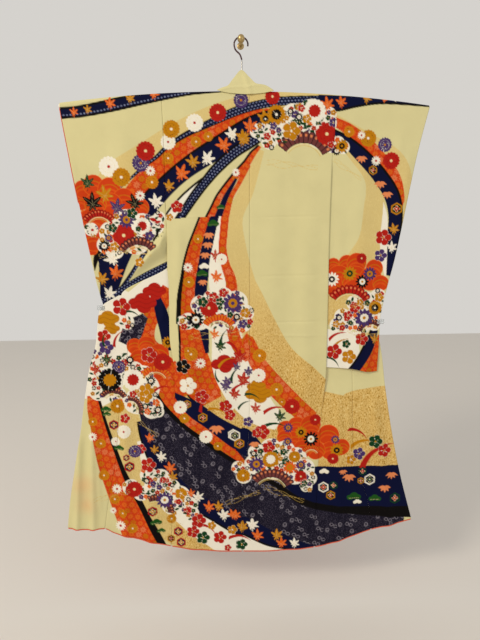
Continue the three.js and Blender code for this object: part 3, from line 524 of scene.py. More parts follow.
def crepe():
    """Silk crepe (chirimen): the dyes and gilding come from attributes, the crinkle from waves and noise.
    IOR 1.53 for silk. The crinkle is drawn about 2 mm wide, coarser than the real one, so that it shows."""
    material, tree, shader = new_material("silk_crepe", "#DAD398", 0.62, IOR=1.53, Specular_IOR_Level=0.06,
                                          Sheen_Weight=0.01, Sheen_Roughness=0.45)
    place = add_node(tree, "TexCoord").outputs["Object"]
    dye = add_node(tree, "Attribute", attribute_name="Dye").outputs["Color"]
    work = add_node(tree, "SeparateColor",
                    {"Color": add_node(tree, "Attribute", attribute_name="Work").outputs["Color"]})
    gilt, knots = work.outputs["Red"], work.outputs["Green"]
    # Gilded parts: leaf shaped flecks about 4 mm long, darker and brighter than the ground. The dark ones are
    # a quarter as strong above the knees as at the hem, where the gold is less worn.
    long_way = add_node(tree, "Mapping", {"Vector": place, "Scale": (1.0, 1.0, 0.55)}).outputs["Vector"]
    fleck = add_node(tree, "TexNoise", {"Vector": long_way, "Scale": 260.0, "Detail": 2.0,
                                        "Roughness": 0.6}).outputs["Fac"]
    dark = add_node(tree, "MapRange", {"Value": fleck, "From Min": 0.54, "From Max": 0.66}).outputs["Result"]
    bright = add_node(tree, "MapRange", {"Value": fleck, "From Min": 0.44,
                                         "From Max": 0.34}).outputs["Result"]
    height = add_node(tree, "SeparateXYZ", {"Vector": place}).outputs["Z"]
    amount = add_node(tree, "MapRange", {"Value": height, "From Min": -0.70, "From Max": -1.05,
                                         "To Min": 0.25, "To Max": 1.0}).outputs["Result"]
    gilded = add_node(tree, "Math", {0: amount, 1: gilt}, operation="MULTIPLY").outputs["Value"]
    dark = add_node(tree, "Math", {0: dark, 1: gilded}, operation="MULTIPLY").outputs["Value"]
    bright = add_node(tree, "Math", {0: bright, 1: gilt}, operation="MULTIPLY").outputs["Value"]
    colour = add_node(tree, "Mix", {"Factor": dark, "A": dye, "B": srgb("#A87E2E")}, data_type="RGBA")
    # Tied dots: a cell every 4 mm with a pale ring round its middle.
    cells = add_node(tree, "TexVoronoi", {"Vector": place, "Scale": 265.0, "Randomness": 0.75})
    dot = add_node(tree, "MapRange", {"Value": cells.outputs["Distance"], "From Min": 0.36, "From Max": 0.20})
    dot = add_node(tree, "Math", {0: dot.outputs["Result"], 1: knots}, operation="MULTIPLY").outputs["Value"]
    dot = add_node(tree, "Math", {0: dot, 1: 0.34}, operation="MULTIPLY").outputs["Value"]
    bright = add_node(tree, "Math", {0: bright, 1: 0.6}, operation="MULTIPLY").outputs["Value"]
    colour = add_node(tree, "Mix", {"Factor": bright, "A": colour.outputs["Result"], "B": srgb("#F0DC9C")},
                      data_type="RGBA")
    colour = add_node(tree, "Mix", {"Factor": dot, "A": colour.outputs["Result"], "B": srgb("#7C7488")},
                      data_type="RGBA").outputs["Result"]
    # Uneven take-up of the dye, a few per cent over hand-sized patches.
    patch = add_node(tree, "TexNoise", {"Vector": place, "Scale": 14.0, "Detail": 4.0}).outputs["Fac"]
    value = add_node(tree, "MapRange", {"Value": patch, "To Min": 0.93, "To Max": 1.06}).outputs["Result"]
    colour = add_node(tree, "HueSaturation", {"Color": colour, "Value": value}).outputs["Color"]
    tree.links.new(colour, shader.inputs["Base Color"])
    gloss = add_node(tree, "MapRange", {"Value": gilt, "To Min": 0.66, "To Max": 0.42}).outputs["Result"]
    tree.links.new(gloss, shader.inputs["Roughness"])
    metal = add_node(tree, "Math", {0: gilt, 1: 0.18}, operation="MULTIPLY").outputs["Value"]
    tree.links.new(metal, shader.inputs["Metallic"])
    # The crinkle: upright waves bent by noise, with fine noise over them, 0.12 mm deep in all.
    wave = add_node(tree, "TexWave", {"Vector": place, "Scale": 150.0, "Distortion": 9.0, "Detail": 2.0,
                                      "Detail Scale": 1.4}).outputs["Fac"]
    grain = add_node(tree, "TexNoise", {"Vector": place, "Scale": 620.0, "Detail": 2.0}).outputs["Fac"]
    both = add_node(tree, "Math", {0: wave, 1: grain}, operation="ADD").outputs["Value"]
    bump = add_node(tree, "Bump", {"Height": both, "Distance": 0.00012, "Strength": 0.8}).outputs["Normal"]
    tree.links.new(bump, shader.inputs["Normal"])
    return material


def lining(name, upper, lower_colour, change_at):
    """Smooth lining silk, one colour above a height and another below it, with fine noise in its gloss and
    surface.
    """
    material, tree, shader = new_material(name, upper, 0.42, IOR=1.53, Sheen_Weight=0.05)
    place = rough_and_bumpy(tree, shader, 900.0, 0.36, 0.50, 0.00004)
    height = add_node(tree, "SeparateXYZ", {"Vector": place}).outputs["Z"]
    share = add_node(tree, "MapRange", {"Value": height, "From Min": change_at + 0.002,
                                        "From Max": change_at - 0.002}).outputs["Result"]
    colour = add_node(tree, "Mix", {"Factor": share, "A": srgb(upper), "B": srgb(lower_colour)},
                      data_type="RGBA").outputs["Result"]
    tree.links.new(colour, shader.inputs["Base Color"])
    return material


def plain(name, colour, roughness, scale, height, **values):
    """One colour with a little unevenness in gloss and surface."""
    material, tree, shader = new_material(name, colour, roughness, **values)
    rough_and_bumpy(tree, shader, scale, roughness * 0.85, roughness * 1.2, height)
    return material


MATERIAL = {
    "crepe": crepe(),
    "lining_body": lining("lining_silk_white_and_red", "#E9E4D6", "#D2502C", -1.15),
    "lining_sleeve": lining("lining_silk_red", "#D2502C", "#D2502C", -1.15),
    # Moulded polystyrene with a satin face, IOR 1.59.
    "hanger_plastic": plain("satin_polystyrene", "#E6E0D2", 0.45, 90.0, 0.00002, IOR=1.59),
    # Nickel-plated steel wire.
    "bright_steel": plain("nickel_plated_steel", "#97958F", 0.30, 400.0, 0.00001, Metallic=1.0),
    # A dipped vinyl coat, IOR 1.54.
    "hook_coating": plain("dipped_vinyl", "#3A1218", 0.32, 220.0, 0.00003, IOR=1.54, Coat_Weight=0.4),
    # Polished brass, a little worn by hands.
    "brass": plain("worn_polished_brass", "#B79E6C", 0.36, 160.0, 0.00002, Metallic=1.0),
    # Clear polycarbonate, IOR 1.58.
    "clear_plastic": plain("clear_polycarbonate", "#EFF3F4", 0.12, 120.0, 0.00001, IOR=1.58,
                           Transmission_Weight=0.75),
    "floor": plain("floor_pale", "#D9D4CD", 0.7, 3.0, 0.0002),
}


def put_dye(obj, name, shape, kept, points):
    """Puts the dyed pattern on a piece as two attributes of its points: Dye is the colour, and Work holds the
    gilding in red and the tied dots in green. A lining point takes the values of the face point before it. A
    piece without a pattern is plain cream."""
    face_count = shape[0] * shape[1]
    dye = np.tile(np.append(linear("cream"), 1.0), (len(points), 1))
    work = np.tile([0.0, 0.0, 0.0, 1.0], (len(points), 1))
    if name in DYED.names:
        k = DYED.names.index(name)
        span = slice(DYED.ends[k], DYED.ends[k + 1])
        dye[:face_count, :3] = DYED.colour[span]
        work[:face_count, 0], work[:face_count, 1] = DYED.gilt[span], DYED.knots[span]
        kept_flat = kept.ravel()
        dye[face_count:], work[face_count:] = dye[:face_count][kept_flat], work[:face_count][kept_flat]
    for layer, values in (("Dye", dye), ("Work", work)):
        attribute = obj.data.color_attributes.new(layer, "FLOAT_COLOR", "POINT")
        attribute.data.foreach_set("color", values.ravel())


# ------------------------------------------------------------------ the dyed and gilded pattern
# Dye and gold colours. A motif's palette names its main colour and, after the underscore, its second one.
DYES = {
    "cream": "#D3CB97", "gold": "#D6B268", "navy": "#060C30", "black": "#0A0707", "white": "#E9E4D4",
    "red": "#AC1D13", "vermilion": "#C63C10", "orange": "#D85E18", "salmon": "#DC8352", "mustard": "#B97A0A",
    "amber": "#C47A10", "purple": "#463063", "mauve": "#683534", "green": "#0E3A1B", "pine": "#1C4E18",
    "indigo": "#171424", "pale": "#E0D09A", "dark": "#5A0B08", "star": "#D86E20", "ring": "#8E8894",
    "knot": "#7F89AA", "honey": "#D3C284", "line": "#D2B05C",
}
# The tuck across the back: x and z of its left end, and its rise per mm to the right.
TUCK_X, TUCK_Z, TUCK_RISE = -266, -586, 0.045
# The gold is worn above the first height, whole from this far below it, and worn by this share on the sleeve
# left of this x.
WORN_ABOVE, WHOLE_AFTER, SLEEVE_WORN, SLEEVE_X = -620, 560, 0.8, -265

# Ribbons in the order that they are laid: name, panels (B back, L and R sleeves, F and G fronts), ground,
# black edge, and rows of (x, z, half width). A number in place of the rows: it lies along the ribbon before
# it, and is that much narrower on each side.
THINNEST = 1.5
RIBBONS = [
    ("gold_sweep", "BL", "gold", "", [(310, -190, 25), (116, -188, 32), (30, -210, 40), (-96, -250, 43),
        (-220, -310, 47), (-332, -384, 54), (-436, -450, 54), (-494, -510, 43)]),
    ("gold_loop", "B", "gold", "", [(66, -356, 11), (16, -486, 25), (-26, -582, 27), (-24, -678, 34),
        (-4, -784, 40), (14, -864, 54), (106, -1080, 72), (210, -1202, 87), (314, -1310, 87)]),
    ("gold_cuff_outer", "R", "gold", "", [(324, -242, 7), (424, -310, 22), (532, -392, 40), (584, -474, 22),
        (580, -558, 14), (560, -656, 7)]),
    ("gold_cuff_inner", "R", "gold", "", [(368, -358, 7), (454, -452, 22), (472, -556, 40), (466, -668, 51),
        (432, -754, 65)]),
    ("gold_sleeve_low", "R", "gold", "", [(302, -896, 72), (362, -904, 69), (406, -926, 43)]),
    ("gold_hem_left", "BF", "gold", "", [(-470, -1215, 56), (-458, -1310, 70), (-430, -1440, 64),
        (-402, -1558, 52), (-356, -1654, 50), (-290, -1740, 50), (-215, -1800, 40), (-140, -1840, 22),
        (-80, -1856, 8)]),
    ("gold_front_right", "G", "gold", "", [(270, -1370, 152), (360, -1384, 146), (400, -1384, 146),
        (440, -1372, 154), (520, -1366, 160), (640, -1360, 160)]),
    ("gold_plum", "B", "gold", "", [(-220, -1196, 32), (-134, -1244, 54), (-32, -1290, 54), (8, -1342, 54),
        (82, -1390, 43), (188, -1438, 43)]),
    ("shoulder_band", "BL", "navy", "black", [(-614, -234, 11), (-548, -228, 12), (-480, -216, 13),
        (-414, -202, 14), (-346, -188, 13), (-270, -174, 11), (-176, -162, 6), (-74, -156, 2)]),
    ("shoulder_kanoko", "BL", "kanoko", "", [(-614, -241, 4), (-548, -236, 4), (-480, -225, 5),
        (-414, -211, 5), (-346, -197, 5), (-270, -182, 5), (-176, -166, 3)]),
    ("florets_sweep", "BL", "florets", "", [(96, -222, 6), (36, -236, 14), (-22, -259, 20), (-82, -287, 23),
        (-140, -315, 26), (-200, -347, 29), (-258, -386, 35), (-312, -442, 43), (-362, -502, 47),
        (-392, -544, 43)]),
    ("maples_sweep", "BL", "navy", "black_left", [(206, -218, 5), (100, -243, 15), (32, -277, 28),
        (-56, -333, 33), (-132, -378, 32), (-202, -424, 30), (-258, -470, 30), (-316, -528, 32),
        (-344, -572, 25)]),
    ("black_sweep", "BL", "black", "", [(324, -188, 12), (266, -187, 13), (154, -192, 15), (96, -198, 15),
        (36, -210, 15), (-22, -227, 15.5), (-80, -251, 14), (-140, -278, 11.5), (-198, -305, 9.5),
        (-256, -340, 8), (-296, -376, 7), (-338, -406, 6), (-424, -480, 3)]),
    ("kanoko_sweep", "BL", "kanoko", "", 4),
    ("white_fall", "U", "white", "black_left", [(-76, -418, 3), (-140, -464, 8), (-196, -512, 11),
        (-236, -556, 13), (-262, -592, 14)]),
    ("kanoko_fall", "U", "kanoko", "black", [(90, -288, 9), (66, -304, 11), (36, -324, 12), (-24, -360, 12),
        (-84, -411, 12), (-130, -462, 10), (-166, -506, 10), (-196, -548, 9), (-222, -586, 8),
        (-240, -612, 8)]),
    ("florets_down_top", "U", "florets", "black_left", [(62, -344, 4), (40, -368, 8), (16, -402, 10),
        (-18, -438, 10), (-74, -506, 9), (-96, -548, 10), (-112, -582, 12), (-124, -606, 12)]),
    ("florets_down", "D", "florets", "black_left", [(-124, -560, 16), (-132, -584, 16), (-152, -640, 19),
        (-170, -690, 21), (-184, -760, 26), (-194, -854, 29), (-200, -954, 29), (-188, -1020, 40),
        (-174, -1108, 54), (-150, -1184, 66), (-118, -1244, 38)]),
    ("black_down", "D", "black", "", [(-213, -765, 5), (-229, -860, 8), (-234, -955, 9)]),
    ("navy_down_top", "U", "navy", "", [(-22, -452, 5), (-54, -506, 9), (-72, -546, 11), (-86, -582, 13),
        (-94, -606, 13)]),
    ("navy_down", "D", "navy", "", [(-94, -560, 15), (-100, -584, 16), (-116, -640, 18), (-128, -692, 20),
        (-140, -760, 22), (-150, -818, 22), (-152, -904, 22), (-140, -1006, 14), (-134, -1064, 7)]),
    ("white_down", "D", "white", "", [(-76, -560, 3), (-80, -584, 4), (-88, -640, 9), (-96, -692, 13),
        (-98, -745, 22), (-90, -820, 32), (-70, -892, 40), (-58, -1036, 58), (-44, -1126, 69),
        (-2, -1216, 69), (-4, -1204, 72), (54, -1282, 61), (128, -1336, 32)]),
    ("florets_right_top", "U", "florets", "", [(20, -404, 10), (-12, -466, 8), (-36, -506, 8),
        (-50, -546, 10), (-58, -576, 12), (-62, -600, 12)]),
    ("florets_right", "D", "florets", "", [(-58, -560, 14), (-62, -582, 14), (-68, -640, 14),
        (-72, -692, 14), (-62, -750, 16), (-42, -820, 20), (-36, -1000, 22), (8, -1074, 25), (16, -1026, 22),
        (48, -1102, 29), (106, -1184, 36), (180, -1262, 36), (248, -1324, 32)]),
    ("shoulder_right", "BR", "navy", "black_left", [(268, -196, 25), (330, -196, 23), (394, -190, 16),
        (464, -186, 10), (534, -190, 6), (658, -200, 4)]),
    ("florets_cuff", "R", "florets", "", [(318, -256, 14), (374, -286, 20), (438, -336, 24), (496, -398, 26),
        (540, -452, 22), (568, -516, 9), (570, -544, 2)]),
    ("navy_cuff", "R", "navy", "black_right", [(318, -296, 7), (368, -330, 16), (424, -380, 22),
        (484, -442, 24), (528, -508, 24), (544, -578, 22), (540, -656, 20), (532, -726, 16),
        (524, -790, 9)]),
    ("white_cuff", "R", "white", "", [(504, -536, 1), (510, -584, 9), (508, -656, 13), (510, -726, 11),
        (516, -790, 3)]),
    ("white_sleeve_foot", "R", "white", "", [(282, -1064, 83), (350, -1074, 79), (424, -1068, 72)]),
    ("florets_corner", "R", "florets", "", [(508, -1016, 14), (484, -1098, 40), (454, -1166, 47)]),
    ("navy_corner", "R", "navy", "black_left", [(484, -994, 11), (464, -1054, 16), (432, -1112, 16),
        (394, -1164, 16)]),
    ("navy_foot", "L", "navy", "", [(-420, -680, 12), (-432, -714, 80), (-448, -760, 66), (-466, -806, 46),
        (-486, -846, 28), (-504, -884, 12)]),
    ("black_foot", "L", "black", "", [(-492, -690, 5), (-510, -704, 10), (-520, -730, 8), (-524, -760, 2)]),
    ("cream_wedge", "L", "cream", "", [(-356, -664, 20), (-366, -700, 19), (-400, -760, 15), (-432, -820, 9),
        (-452, -852, 3)]),
    ("white_wedge", "L", "white", "", [(-318, -676, 14), (-352, -718, 11), (-388, -766, 8),
        (-434, -826, 3)]),
    ("black_wedge", "L", "black", "", [(-338, -686, 9), (-372, -744, 10), (-410, -800, 11), (-452, -852, 11),
        (-480, -878, 7)]),
    ("kanoko_wedge", "L", "kanoko", "", 3),
    ("cream_roll", "L", "cream", "", [(-440, -846, 2), (-396, -806, 12), (-350, -764, 25), (-306, -722, 37),
        (-268, -689, 47), (-250, -673, 52)]),
    ("white_top", "LF", "white", "", [(-262, -784, 34), (-330, -824, 35), (-400, -868, 28),
        (-476, -912, 20)]),
    ("black_hemline", "L", "black", "", [(-250, -738, 13), (-288, -756, 13), (-344, -784, 14),
        (-416, -824, 14), (-510, -876, 12)]),
    ("kanoko_hemline", "L", "kanoko", "", 3),
    ("white_front", "F", "white", "", [(-420, -840, 70), (-450, -900, 84), (-462, -980, 84),
        (-490, -1080, 84), (-520, -1180, 70), (-560, -1240, 40)]),
    ("florets_front", "F", "florets", "", [(-268, -832, 25), (-298, -880, 32), (-342, -952, 29),
        (-352, -1018, 32), (-326, -1076, 43), (-276, -1150, 32)]),
    ("navy_front", "F", "navy", "", [(-312, -860, 14), (-296, -916, 22), (-282, -982, 22),
        (-274, -1054, 18)]),
    ("shibori_piece", "F", "shibori", "", [(-356, -930, 14), (-394, -972, 36), (-424, -1030, 32)]),
    ("white_hem", "BF", "white", "", [(-386, -1396, 14), (-366, -1466, 22), (-340, -1544, 29),
        (-276, -1632, 44), (-188, -1714, 52), (-82, -1790, 60), (-10, -1830, 66), (60, -1866, 66),
        (150, -1900, 60)]),
    ("florets_hem", "F", "florets", "", [(-552, -1220, 22), (-546, -1278, 29), (-530, -1370, 31),
        (-510, -1478, 36), (-478, -1578, 43), (-434, -1690, 54), (-386, -1820, 61)]),
    ("black_hem", "F", "black", "", [(-540, -1190, 4), (-528, -1250, 5), (-506, -1340, 6), (-476, -1440, 8),
        (-440, -1542, 10), (-386, -1660, 12), (-330, -1782, 14), (-300, -1850, 14)]),
    ("shibori_sweep", "BFG", "shibori", "", [(-336, -1170, 30), (-340, -1238, 50), (-306, -1330, 72),
        (-246, -1412, 96), (-164, -1486, 110), (-56, -1560, 118), (22, -1630, 122), (142, -1706, 118),
        (280, -1740, 112), (420, -1756, 96), (614, -1756, 80)]),
    ("maples_hem", "BF", "navy", "black_left", [(-384, -1320, 7), (-364, -1382, 17), (-330, -1466, 22),
        (-272, -1550, 25), (-200, -1626, 29), (-104, -1686, 32), (-22, -1740, 32), (-2, -1740, 32),
        (96, -1792, 29), (212, -1830, 18), (282, -1848, 7)]),
    ("florets_gap", "BF", "florets", "", [(-272, -1105, 26), (-246, -1165, 36), (-216, -1222, 22)]),
    ("black_slip", "BF", "black", "", [(-312, -1178, 8), (-298, -1232, 22), (-240, -1297, 29),
        (-168, -1359, 29), (-102, -1415, 27), (-4, -1508, 9)]),
    ("florets_slip", "BF", "florets", "black_left", [(-306, -1150, 20), (-280, -1218, 30), (-230, -1286, 27),
        (-158, -1348, 27), (-92, -1404, 25), (4, -1496, 7)]),
    ("navy_slip", "B", "navy", "", [(-256, -1218, 7), (-192, -1272, 29), (-112, -1334, 32), (-32, -1390, 40),
        (-6, -1402, 47), (60, -1466, 32)]),
    ("navy_hem_right", "BG", "navy", "", [(120, -1490, 30), (226, -1568, 66), (318, -1594, 82),
        (432, -1600, 86), (540, -1604, 90), (660, -1606, 94)]),
    ("black_stripe", "BG", "black", "", [(60, -1552, 4), (112, -1575, 9), (188, -1632, 12), (276, -1672, 13),
        (388, -1690, 15), (496, -1698, 20), (640, -1706, 23), (700, -1709, 24)]),
]

# Motifs in the order that they are laid: kind, panels, palette, and rows of (x, z, radius, turn in degrees).
MOTIFS = [
    ("pine", "L", "vermilion", [(-562, -530, 26), (-548, -578, 24), (-536, -640, 28), (-530, -690, 20),
        (-550, -484, 32), (-516, -470, 36), (-462, -484, 40), (-412, -520, 40), (-358, -546, 32),
        (-460, -538, 43), (-512, -534, 38), (-524, -598, 51), (-524, -660, 36)]),
    ("pine", "BG", "vermilion", [(154, -1360, 32), (196, -1350, 36), (248, -1348, 39), (188, -1408, 39),
        (248, -1410, 46), (316, -1388, 40), (324, -1450, 36), (366, -1436, 32), (270, -1448, 36),
        (218, -1440, 36), (150, -1394, 29)]),
    ("pine", "F", "vermilion", [(-396, -1038, 29), (-352, -1032, 32), (-310, -1068, 38), (-346, -1082, 43),
        (-382, -1082, 32), (-286, -1106, 32), (-320, -1128, 36)]),
    ("pine", "R", "vermilion", [(326, -752, 25), (374, -746, 29), (410, -746, 36), (476, -766, 32),
        (346, -796, 43), (404, -804, 48), (462, -804, 43), (500, -820, 29), (324, -832, 29)]),
    ("cloud", "B", "red_cloud", [(-72, -1106, 48)]),
    ("cloud", "B", "mustard_cloud", [(54, -1222, 51), (46, -1194, 36)]),
    ("cloud", "F", "mustard_cloud", [(-488, -936, 43), (-474, -972, 29)]),
    ("cloud", "F", "red_cloud", [(-362, -880, 52), (-318, -838, 43)]),
    ("scallop", "L", "white", [(-464, -634, 43), (-408, -600, 51), (-352, -606, 43), (-484, -674, 32),
        (-446, -696, 29), (-376, -662, 51), (-310, -608, 36), (-292, -580, 22), (-530, -620, 25)]),
    ("scallop", "BR", "white", [(80, -296, 35), (52, -290, 26), (122, -256, 43), (178, -244, 48),
        (240, -230, 48), (290, -262, 43), (150, -304, 43), (212, -284, 51), (268, -310, 43), (312, -336, 29),
        (94, -324, 29), (304, -236, 26)]),
    ("scallop", "R", "white", [(336, -330, 25), (354, -344, 25), (406, -890, 32), (450, -884, 36),
        (492, -870, 32), (472, -920, 43), (420, -934, 43), (362, -940, 32), (340, -970, 26), (378, -970, 32),
        (436, -972, 36), (480, -964, 32)]),
    ("scallop", "B", "white", [(-200, -948, 32), (-156, -890, 36), (-112, -870, 36), (-70, -862, 36),
        (-26, -884, 46), (8, -922, 33), (2, -964, 29), (-156, -948, 36), (-100, -926, 65), (-222, -946, 19),
        (-50, -956, 29), (-4, -1542, 32), (38, -1496, 43), (46, -1450, 36), (98, -1436, 43),
        (150, -1446, 43), (196, -1470, 40), (226, -1518, 43), (248, -1558, 29), (188, -1532, 51),
        (112, -1498, 65), (234, -1588, 25), (-26, -1506, 26)]),
    ("scallop", "F", "white", [(-420, -950, 29), (-532, -1086, 43), (-536, -1146, 43), (-530, -1198, 43),
        (-498, -1116, 51), (-448, -1104, 43), (-406, -1140, 51), (-364, -1194, 58), (-396, -1244, 51),
        (-338, -1268, 43), (-364, -1142, 36), (-316, -1284, 22), (-466, -1220, 36), (-550, -1064, 17),
        (-428, -1572, 33), (-392, -1598, 32), (-360, -1528, 36), (-340, -1576, 43)]),
    ("scallop", "BF", "white", [(-316, -1538, 36), (-282, -1584, 43), (-244, -1610, 40), (-216, -1650, 40),
        (-276, -1648, 43), (-202, -1682, 29)]),
    ("branch", "B", "green", [(112, -1352, 43), (2, -1266, 29, 30)]),
    ("branch", "B", "red_branch", [(-144, -1258, 36, 60), (114, -1290, 43, 10)]),
    ("branch", "G", "red_branch", [(428, -1390, 43, -30), (506, -1478, 79, 40)]),
    ("branch", "G", "gold_branch", [(452, -1430, 51, 10)]),
    ("branch", "BF", "red_branch", [(-150, -1752, 43, -30), (-22, -1796, 43, -10)]),
    ("branch", "R", "red_branch", [(348, -1014, 36, 20)]),
    ("branch", "R", "gold_branch", [(356, -1044, 36, 35)]),
    ("branch", "R", "green", [(328, -1110, 32, -40)]),
    ("fan", "L", "red_fan", [(-502, -584, 57)]),
    ("fan", "B", "mauve", [(220, -345, 98, -5), (105, -1562, 84, -8)]),
    ("fan", "B", "orange", [(-89, -957, 60, -1), (253, -1447, 40, -5)]),
    ("fan", "F", "orange", [(-320, -1141, 58, -7)]),
    ("fan", "F", "mauve", [(-479, -1218, 51, -4), (-401, -1258, 47, -53)]),
    ("fan", "BF", "mauve", [(-319, -1645, 63, -36)]),
    ("fan", "R", "red_fan", [(388, -868, 78, -4)]),
    ("fan", "R", "mauve", [(461, -979, 49, 15)]),
    ("kiku", "BL", "purple", [(-2, -190, 26), (-350, -396, 30)]),
    ("kiku", "BLR", "red", [(106, -178, 26), (-82, -230, 30), (-332, -356, 33), (526, -390, 30)]),
    ("kiku", "BL", "white", [(-162, -264, 30), (-254, -326, 26), (-460, -408, 35), (574, -482, 22)]),
    ("kiku", "BLR", "mustard", [(-242, -284, 30), (-418, -444, 32), (442, -314, 29)]),
    ("kiku", "R", "purple", [(502, -336, 25)]),
    ("momiji", "BL", "white", [(-34, -304, 26, 20), (-122, -384, 29, -30), (-302, -530, 29, 10),
        (-460, -726, 32, 40), (-480, -848, 27, -20)]),
    ("momiji", "BL", "orange", [(28, -278, 29), (-62, -340, 30, 30), (-212, -434, 32, -20),
        (-452, -776, 30, -10), (296, -206, 27, 10), (-298, -172, 22, 10), (-446, -204, 22),
        (-568, -232, 17)]),
    ("momiji", "BL", "mustard", [(4, -320, 26, -20), (-170, -396, 27, 15), (-256, -476, 23),
        (-500, -796, 27, 20), (-378, -188, 20), (-522, -224, 16), (80, -250, 29, 10), (2, -316, 29)]),
    ("momiji", "R", "orange", [(344, -198, 22, 10), (494, -186, 13)]),
    ("momiji", "R", "mustard", [(432, -184, 20), (542, -630, 22, 10), (482, -1028, 20)]),
    ("momiji", "R", "white", [(534, -186, 9), (536, -694, 22)]),
    ("sasa", "R", "salmon", [(420, -382, 23), (490, -468, 25), (516, -504, 23)]),
    ("kikko", "R", "mustard", [(550, -556, 22), (462, -422, 17)]),
    ("momiji", "L", "green", [(-536, -464, 27)]),
    ("momiji", "L", "mustard", [(-478, -506, 34, 10)]),
    ("momiji", "L", "black", [(-522, -534, 38), (-374, -534, 33, 20)]),
    ("momiji", "L", "purple", [(-438, -550, 32, -10)]),
    ("kiku", "L", "red", [(-418, -642, 40)]),
    ("kiku", "L", "white_red", [(-352, -610, 30)]),
    ("daisy", "L", "purple_mustard", [(-406, -588, 29), (-472, -650, 14)]),
    ("daisy", "L", "black_white", [(-488, -678, 20)]),
    ("ume", "L", "mustard", [(-452, -680, 16), (-366, -736, 17)]),
    ("ume", "L", "green", [(-386, -566, 19), (-456, -616, 16), (-366, -620, 10)]),
    ("ume", "L", "purple", [(-328, -644, 17), (-348, -668, 14)]),
    ("specks", "L", "black", [(-298, -638, 19)]),
    ("kiku", "B", "mustard_black", [(120, -236, 32), (82, -250, 19)]),
    ("kiku", "B", "white_red", [(252, -224, 39)]),
    ("kiku", "B", "red", [(296, -300, 38), (178, -1274, 30), (-124, -902, 33), (212, -1548, 23),
        (266, -1328, 22)]),
    ("ume", "B", "mustard", [(172, -290, 32), (226, -250, 16), (198, -212, 14), (8, -922, 19),
        (-220, -946, 10)]),
    ("ume", "B", "red", [(88, -308, 13), (108, -294, 10), (206, -216, 13), (312, -336, 12), (-106, -864, 19),
        (-72, -848, 17), (24, -954, 12), (-214, -968, 12), (-156, -1230, 26), (-70, -1268, 25),
        (-54, -1302, 22), (66, -1370, 29), (46, -1374, 19), (90, -1432, 25), (222, -1572, 13)]),
    ("ume", "B", "purple", [(110, -274, 13), (184, -236, 14), (318, -262, 16), (128, -288, 10),
        (-2, -962, 17), (-176, -894, 10), (14, -1330, 20), (14, -1330, 19)]),
    ("daisy", "BR", "black_white", [(198, -244, 14), (168, -226, 12), (332, -356, 16)]),
    ("leaf", "B", "green", [(66, -294, 12), (80, -330, 10), (150, -326, 10), (232, -274, 12),
        (244, -290, 10), (126, -316, 10), (220, -280, 10), (212, -266, 10)]),
    ("daisy", "R", "mustard_black", [(350, -340, 23)]),
    ("burst", "BL", "white", [(-526, -622, 20), (-318, -422, 17), (-356, -506, 17), (-22, -428, 14),
        (-196, -756, 17), (-158, -1104, 19)]),
    ("burst", "BF", "white", [(-560, -1372, 16), (-480, -1578, 19), (-472, -1724, 20), (-498, -1664, 13)]),
    ("burst", "R", "white", [(418, -304, 14), (472, -390, 17)]),
    ("kiku", "BL", "amber", [(-256, -380, 20), (-314, -460, 23), (-158, -326, 19), (-116, -308, 17),
        (-158, -656, 17), (-194, -808, 20), (-192, -1068, 26), (-202, -1056, 14)]),
    ("kiku", "BR", "amber", [(374, -292, 19), (58, -1080, 26), (120, -1208, 26), (140, -1256, 14)]),
    ("kiku", "F", "amber", [(-558, -1316, 17), (-532, -1400, 19), (-526, -1524, 20), (-490, -1618, 20),
        (-462, -1674, 17), (-428, -1738, 20)]),
    ("ume", "B", "white", [(-206, -1186, 32)]),
    ("ume", "B", "black_mustard", [(-222, -1114, 27)]),
    ("sasa", "B", "salmon", [(-120, -642, 23), (-124, -676, 23), (-134, -712, 22), (-144, -808, 20),
        (-104, -1352, 32), (38, -1416, 22), (34, -1418, 19)]),
    ("momiji", "B", "red", [(-98, -718, 22), (-22, -1092, 27, 20), (-6, -1174, 26, -10),
        (-34, -1226, 25, 10), (-4, -1172, 30, -10), (-14, -1086, 29), (42, -1282, 23), (-50, -990, 16)]),
    ("momiji", "B", "orange", [(-96, -794, 25), (-106, -1000, 20)]),
    ("momiji", "B", "green", [(-86, -1044, 25), (132, -1314, 26)]),
    ("momiji", "B", "purple", [(-68, -1194, 26), (18, -1142, 19), (16, -1142, 20)]),
    ("kiku", "B", "white", [(-76, -728, 20), (54, -1154, 26)]),
    ("daisy", "B", "purple_mustard", [(-38, -886, 38), (44, -1496, 30), (212, -1502, 19)]),
    ("ume", "B", "green", [(-146, -880, 19), (-84, -880, 16), (-48, -928, 12), (154, -1488, 16),
        (60, -1446, 12), (146, -1450, 14), (226, -1576, 13), (116, -1452, 12)]),
    ("daisy", "B", "black_white", [(-172, -944, 29), (-24, -936, 14), (34, -1454, 14), (60, -1466, 10)]),
    ("kikko", "B", "white_green", [(-42, -1378, 22), (-36, -1382, 22)]),
    ("kikko", "B", "mustard", [(-154, -1310, 19), (-210, -1256, 16), (-22, -1414, 19), (-18, -1414, 19)]),
    ("kiku", "BF", "white", [(-236, -1268, 25), (-144, -1384, 25)]),
    ("kiku", "BF", "mustard", [(-222, -1310, 19), (-100, -1420, 17)]),
    ("kiku", "B", "mustard_white", [(98, -1478, 32)]),
    ("kiku", "B", "mustard", [(188, -1470, 23), (-6, -1540, 26)]),
    ("daisy", "B", "orange_mustard", [(170, -1512, 26)]),
    ("daisy", "BG", "black_white", [(250, -1402, 29)]),
    ("daisy", "BG", "mustard_black", [(212, -1374, 23), (348, -1448, 26)]),
    ("daisy", "BG", "purple_mustard", [(164, -1356, 19), (162, -1410, 17), (342, -1406, 17)]),
    ("kiku", "G", "red", [(334, -1482, 22)]),
    ("ume", "G", "green", [(496, -1418, 27)]),
    ("ume", "G", "red", [(530, -1454, 27)]),
    ("ume", "G", "purple", [(434, -1466, 25)]),
    ("ume", "G", "mustard", [(404, -1488, 20)]),
